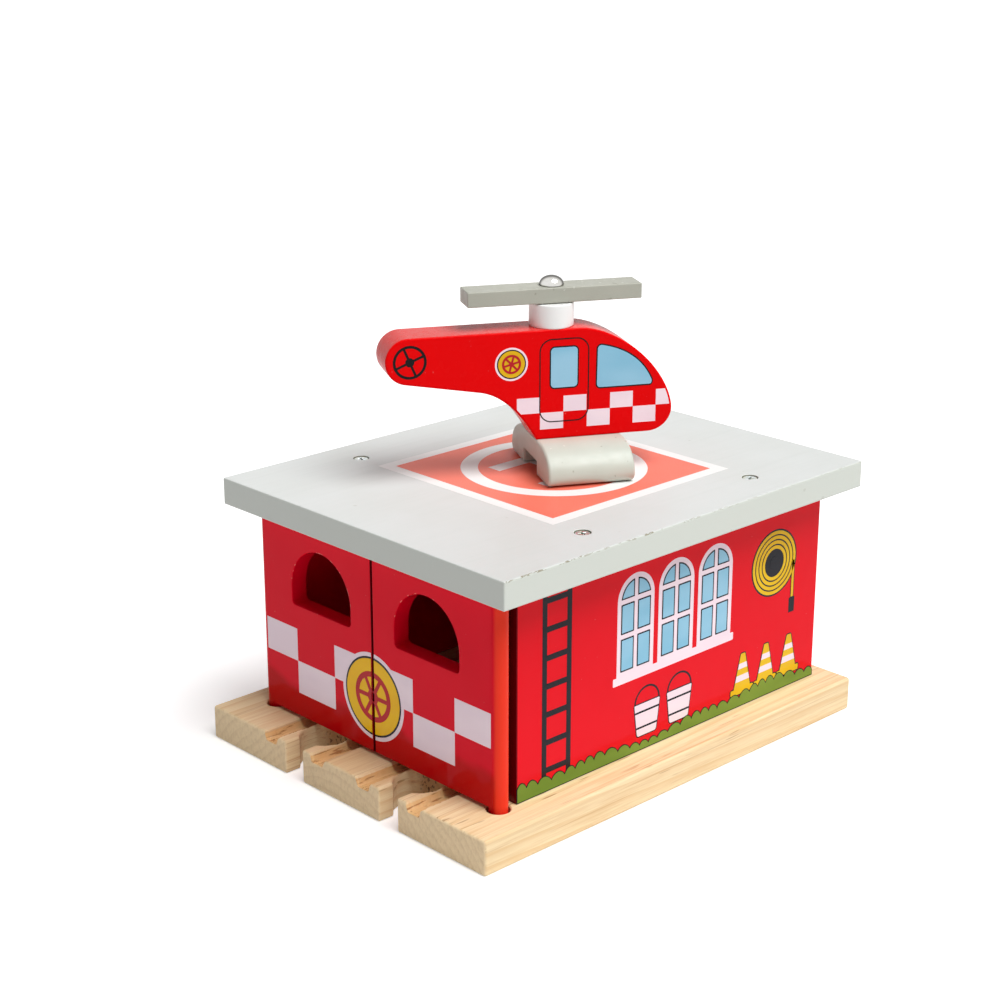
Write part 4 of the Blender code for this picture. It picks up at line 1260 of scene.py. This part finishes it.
def cone(middle):
    """A yellow cone with a flat foot and two white bands."""

    def slice_of(low, high):
        levels = np.array([low, low, high, high])
        half = CONE_HALF - (CONE_HALF - CONE_TIP_HALF) * (levels - CONE_LOW) / CONE_HEIGHT
        return np.stack([middle + half * [-1, 1, 1, -1], levels], 1)

    body = rounded(slice_of(CONE_LOW, CONE_LOW + CONE_HEIGHT), 0.5)
    foot = rectangle((middle - 6.0, CONE_LOW - 2.0), (middle + 6.0, CONE_LOW + 0.2), 0.6)
    return {
        "yellow": [(2, [body]), (2.1, [foot])],
        "black": [(1, [moved_in(body, -OUTLINE)]), (1.1, [moved_in(foot, -OUTLINE)])],
        "white": [(3, [slice_of(*band)]) for band in CONE_BANDS],
    }


def pail(middle):
    """A white pail with a dark outline, a handle and two hoops."""
    low, top = PAIL_LOW_HALF, PAIL_TOP_HALF
    corners = np.array([(-low, PAIL_LOW), (low, PAIL_LOW), (top, PAIL_TOP), (-top, PAIL_TOP)])
    side = rounded(corners + (middle, 0), [1, 1, 0.4, 0.4])
    root = (middle, PAIL_TOP + 0.1)
    handle = np.concatenate([arc(root, (top, 6.0), 0, np.pi, 40), arc(root, (top - 0.7, 5.3), np.pi, 0, 40)])
    dark = [(1, [moved_in(side, -OUTLINE)]), (1.1, [handle])]
    for level, half in ((13.6, 5.8), (8.0, 5.0)):
        dark.append((3, [bar((middle - half, level), (middle + half, level), 0.7)]))
    return {"white": [(2, [side])], "black": dark}


def hedge(length):
    """A clipped hedge: bumps |sin|^0.55 on a top that swells and falls along the wall."""
    along = np.linspace(0.3, length - 0.3, 420)
    swell = 0.55 + 0.25 * np.sin(along * 0.061 + 0.8) + 0.2 * np.sin(along * 0.147 + 2.1)
    bumps = np.abs(np.sin(along * np.pi / HEDGE_BUMP + 0.6 * np.sin(along * 0.21))) ** 0.55
    top = HEDGE_HEIGHT * (0.45 * swell + 0.42 * bumps * (0.6 + 0.4 * swell)) + 0.6
    green = np.concatenate([[(along[0], 0.1), (along[-1], 0.1)], np.stack([along, top], 1)[::-1]])
    return {"green": [(4.6, [green])], "black": [(3.6, [moved_in(green, -0.3)])]}


def print_walls():
    """The side walls' picture: on the right wall from the doors backwards, on the left one from the back."""
    length, height = (WALL_HIGH - WALL_LOW)[1:] / MM
    motifs = [wall_window(centre) for centre in WALL_WINDOWS]
    motifs += [wall_sill(), ladder(height - 1.0), hose_reel()]
    motifs += [cone(middle) for middle in CONES] + [pail(middle) for middle in PAILS] + [hedge(length)]
    for side, axes, corner in (
        ("right", AXES_RIGHT, (WALL_HIGH[0], WALL_LOW[1], WALL_LOW[2])),
        ("left", AXES_LEFT, (-WALL_HIGH[0], WALL_HIGH[1], WALL_LOW[2])),
    ):
        print_motifs(f"{side}_print", WALL_INKS, f"{side}_wall", axes, corner, motifs)


# Prints on the roof

PAD_HALF = 42.6
PAD_BORDER = 4.5
PAD_RING = (0, 0.6)
PAD_RING_RADIUS = 32.2
PAD_RING_WIDTH = 6.0
LEG_X = 12.2
LEG_HALF = 2.9
LEG_LOW = -16.4
LEG_HIGH = 18.4
CROSSBAR = ((-9.6, -2.2), (9.6, 4.2))


def square(half):
    """A square about the middle, from its half side."""
    return rectangle((-half, -half), (half, half))


def print_helipad():
    """The landing square, its border, ring and letter, in the middle of the roof's screws."""
    middle = np.mean([axis_of(screw) for screw in ROOF_SCREWS], 0) * MM
    origin = (0, middle[1], ROOF_HIGH[2])
    field = PAD_HALF - PAD_BORDER
    white = [(1, [square(PAD_HALF), square(field)[::-1]])]
    white.append((3, hoop(PAD_RING, PAD_RING_RADIUS, PAD_RING_WIDTH, 160)))
    for leg in (-LEG_X, LEG_X):
        white.append((3, [rectangle((leg - LEG_HALF, LEG_LOW), (leg + LEG_HALF, LEG_HIGH))]))
    white.append((3.1, [rectangle(*CROSSBAR)]))
    printed("helipad_white", INK_PAD_WHITE, "roof_panel", AXES_TOP, origin, white)
    printed("helipad_coral", INK_CORAL, "roof_panel", AXES_TOP, origin, [(2, [square(field + 0.1)])])


# Prints on the helicopter

CRAFT_INKS = dict(white=INK_WHITE, black=INK_CRAFT_BLACK, blue=INK_BLUE, yellow=INK_YELLOW, red=INK_RED)
CHECK_ROWS = (3.5, 9.3, 14.8)
LOW_CHECKS = (-6.9, 9.6, 26.0)
LOW_CHECK_WIDTH = 8.15
HIGH_CHECKS = ((1.3, 9.4), (17.8, 25.9))
END_CHECKS = (-6.9, 34.2)
LAST_CHECK_BACK = -15.0
CABIN_DOOR = ((-7.0, 6.0), (10.0, 34.5))
DOOR_WINDOW = ((-3.2, 17.8), (6.1, 31.6))
WINDSCREEN_FOOT = ((13.0, 16.9), (32.5, 16.9))
WINDSCREEN_CURVE = ((32.5, 18.4), (27.6, 29.4), (13.2, 31.8))
CRAFT_OUTLINE = 0.45
TAIL_ROTOR = (-51.5, 29.8)
BADGE = (-16.9, 26.9)


def craft_checks():
    """Two rows of checks whose ends follow the hollow of the belly and the nose."""
    low, middle, top = CHECK_ROWS
    back, front = END_CHECKS
    levels = np.linspace(middle, top, 8)
    belly = quadratic(np.linspace(0, 1, 200), *BELLY)
    left = np.maximum(np.interp(levels, belly[:, 1], belly[:, 0]) + 1.0, LAST_CHECK_BACK)
    right = nose_reach(levels) - 0.9
    loops = [np.concatenate([[(back, middle), (back, top)], np.stack([left, levels], 1)[::-1]])]
    loops += [rectangle((start, middle), (end, top)) for start, end in HIGH_CHECKS]
    loops.append(np.concatenate([[(front, top), (front, middle)], np.stack([right, levels], 1)]))
    loops += [rectangle((start, low), (start + LOW_CHECK_WIDTH, middle)) for start in LOW_CHECKS]
    return {"white": [(1, [loop]) for loop in loops]}


def craft_windows():
    """The cabin door's outline, its window, and the windscreen, whose curve follows the nose."""
    shares = np.concatenate([[0], np.linspace(0.07, 0.92, 24), [1]])
    corners = np.concatenate([WINDSCREEN_FOOT, quadratic(shares, *WINDSCREEN_CURVE)])
    windscreen = rounded(corners, [1.2, 0.8, 0.8] + [0] * (len(shares) - 2) + [1.3])
    panes = [rectangle(*DOOR_WINDOW, 1.3), windscreen]
    door = rectangle(*CABIN_DOOR, 4.2)
    lines = [[moved_in(door, -0.19), moved_in(door, 0.19)[::-1]]]
    lines += [[moved_in(pane, -CRAFT_OUTLINE)] for pane in panes]
    return {"black": [(2, loops) for loops in lines], "blue": [(3, [pane]) for pane in panes]}


def craft_badge():
    """The roundel behind the door: halo, line, disc and wheel."""
    return {
        "white": [(1, [circle(BADGE, 5.7)])],
        "black": [(2, [circle(BADGE, 5.0)])],
        "yellow": [(3, [circle(BADGE, 4.6)])],
        "red": wheel(BADGE, 3.3, 6, 0.26, 0.24, 4),
    }


def print_helicopter():
    """The same print on both sides of the fuselage."""
    tail_rotor = {"black": wheel(TAIL_ROTOR, 5.7, 4, 0.4, 0.16, 1)}
    motifs = [craft_checks(), craft_windows(), craft_badge(), tail_rotor]
    for name, axes in (("starboard_print", AXES_STARBOARD_FACE), ("port_print", AXES_PORT_FACE)):
        origin = CRAFT + FUSELAGE_HALF * MM * axes[2]
        print_motifs(name, CRAFT_INKS, "helicopter_fuselage", axes, origin, motifs)


# Room, light and camera

FLOOR_HALF = 12.0
FLOOR_LIFT = 0.38
WORLD_STRENGTH = 0.19
KEY_DIRECTION = (0.45, 0.09, 0.88)
KEY_SPREAD = 40.0
KEY_STRENGTH = 3.15
CAMERA_PLACE = (0.46866, -0.46447, 0.30444)
CAMERA_TURN = (71.486, 0.0, 46.393)
LENS_LENGTH = 72.88
SENSOR_WIDTH = 36.0
WHITE = (1.0, 1.0, 1.0, 1)


def add_floor():
    """A wide pale floor, which the camera sees a little brighter than it is."""
    mesh = bpy.data.meshes.new("floor")
    corners = FLOOR_HALF * np.array([(-1, -1, 0), (1, -1, 0), (1, 1, 0), (-1, 1, 0)])
    mesh.from_pydata(corners.tolist(), [], [(0, 1, 2, 3)])
    finish = Finish("floor_white")
    seen = finish.add("ShaderNodeLightPath").outputs["Is Camera Ray"]
    finish.put(finish.shader.inputs["Emission Color"], WHITE)
    finish.put(finish.shader.inputs["Emission Strength"], finish.product(seen, FLOOR_LIFT))
    colour = finish.blend(finish.noise(3, 2.0), (0.88, 0.88, 0.88, 1), (0.90, 0.90, 0.90, 1))
    mesh.materials.append(finish.surface(colour, 0.7, gloss=0.0))
    add_object("floor", mesh)


def add_world():
    """A plain white room: full white where it is seen or mirrored, softer where it lights."""
    world = bpy.data.worlds.new("studio")
    bpy.context.scene.world = world
    room = Nodes(world)
    path = room.add("ShaderNodeLightPath").outputs
    seen = room.math("MAXIMUM", path["Is Camera Ray"], path["Is Glossy Ray"])
    light = room.tree.nodes["Background"].inputs
    room.put(light["Color"], WHITE)
    room.put(light["Strength"], room.remap(seen, 0.0, 1.0, WORLD_STRENGTH, 1.0))


def add_key_light():
    """One broad, even softbox, above and to the right."""
    lamp = bpy.data.lights.new("key_softbox", "SUN")
    lamp.angle = np.radians(KEY_SPREAD)
    lamp.energy = KEY_STRENGTH
    holder = add_object("key_softbox", lamp)
    holder.rotation_euler = Vector(KEY_DIRECTION).normalized().to_track_quat("Z", "Y").to_euler()


def add_camera():
    """The photograph's view: a long lens, above and to the right of the doors."""
    lens = bpy.data.cameras.new("camera")
    lens.lens = LENS_LENGTH
    lens.sensor_width = SENSOR_WIDTH
    lens.clip_start = 0.01
    lens.clip_end = 50.0
    camera = add_object("camera", lens)
    camera.location = CAMERA_PLACE
    camera.rotation_euler = np.radians(CAMERA_TURN).tolist()
    bpy.context.scene.camera = camera


dress_base()
dress_walls()
dress_roof()
dress_door("left_door", -1)
dress_door("right_door", 1)
dress_screws()
dress_helicopter()
for dowel in DOWELS:
    frame["nodes"][dowel].data.materials.clear()
    frame["nodes"][dowel].data.materials.append(PINE)

print_door("left_door", -1)
print_door("right_door", 1)
print_walls()
print_helipad()
print_helicopter()

add_floor()
add_world()
add_key_light()
add_camera()
bpy.context.scene.view_settings.view_transform = "Standard"
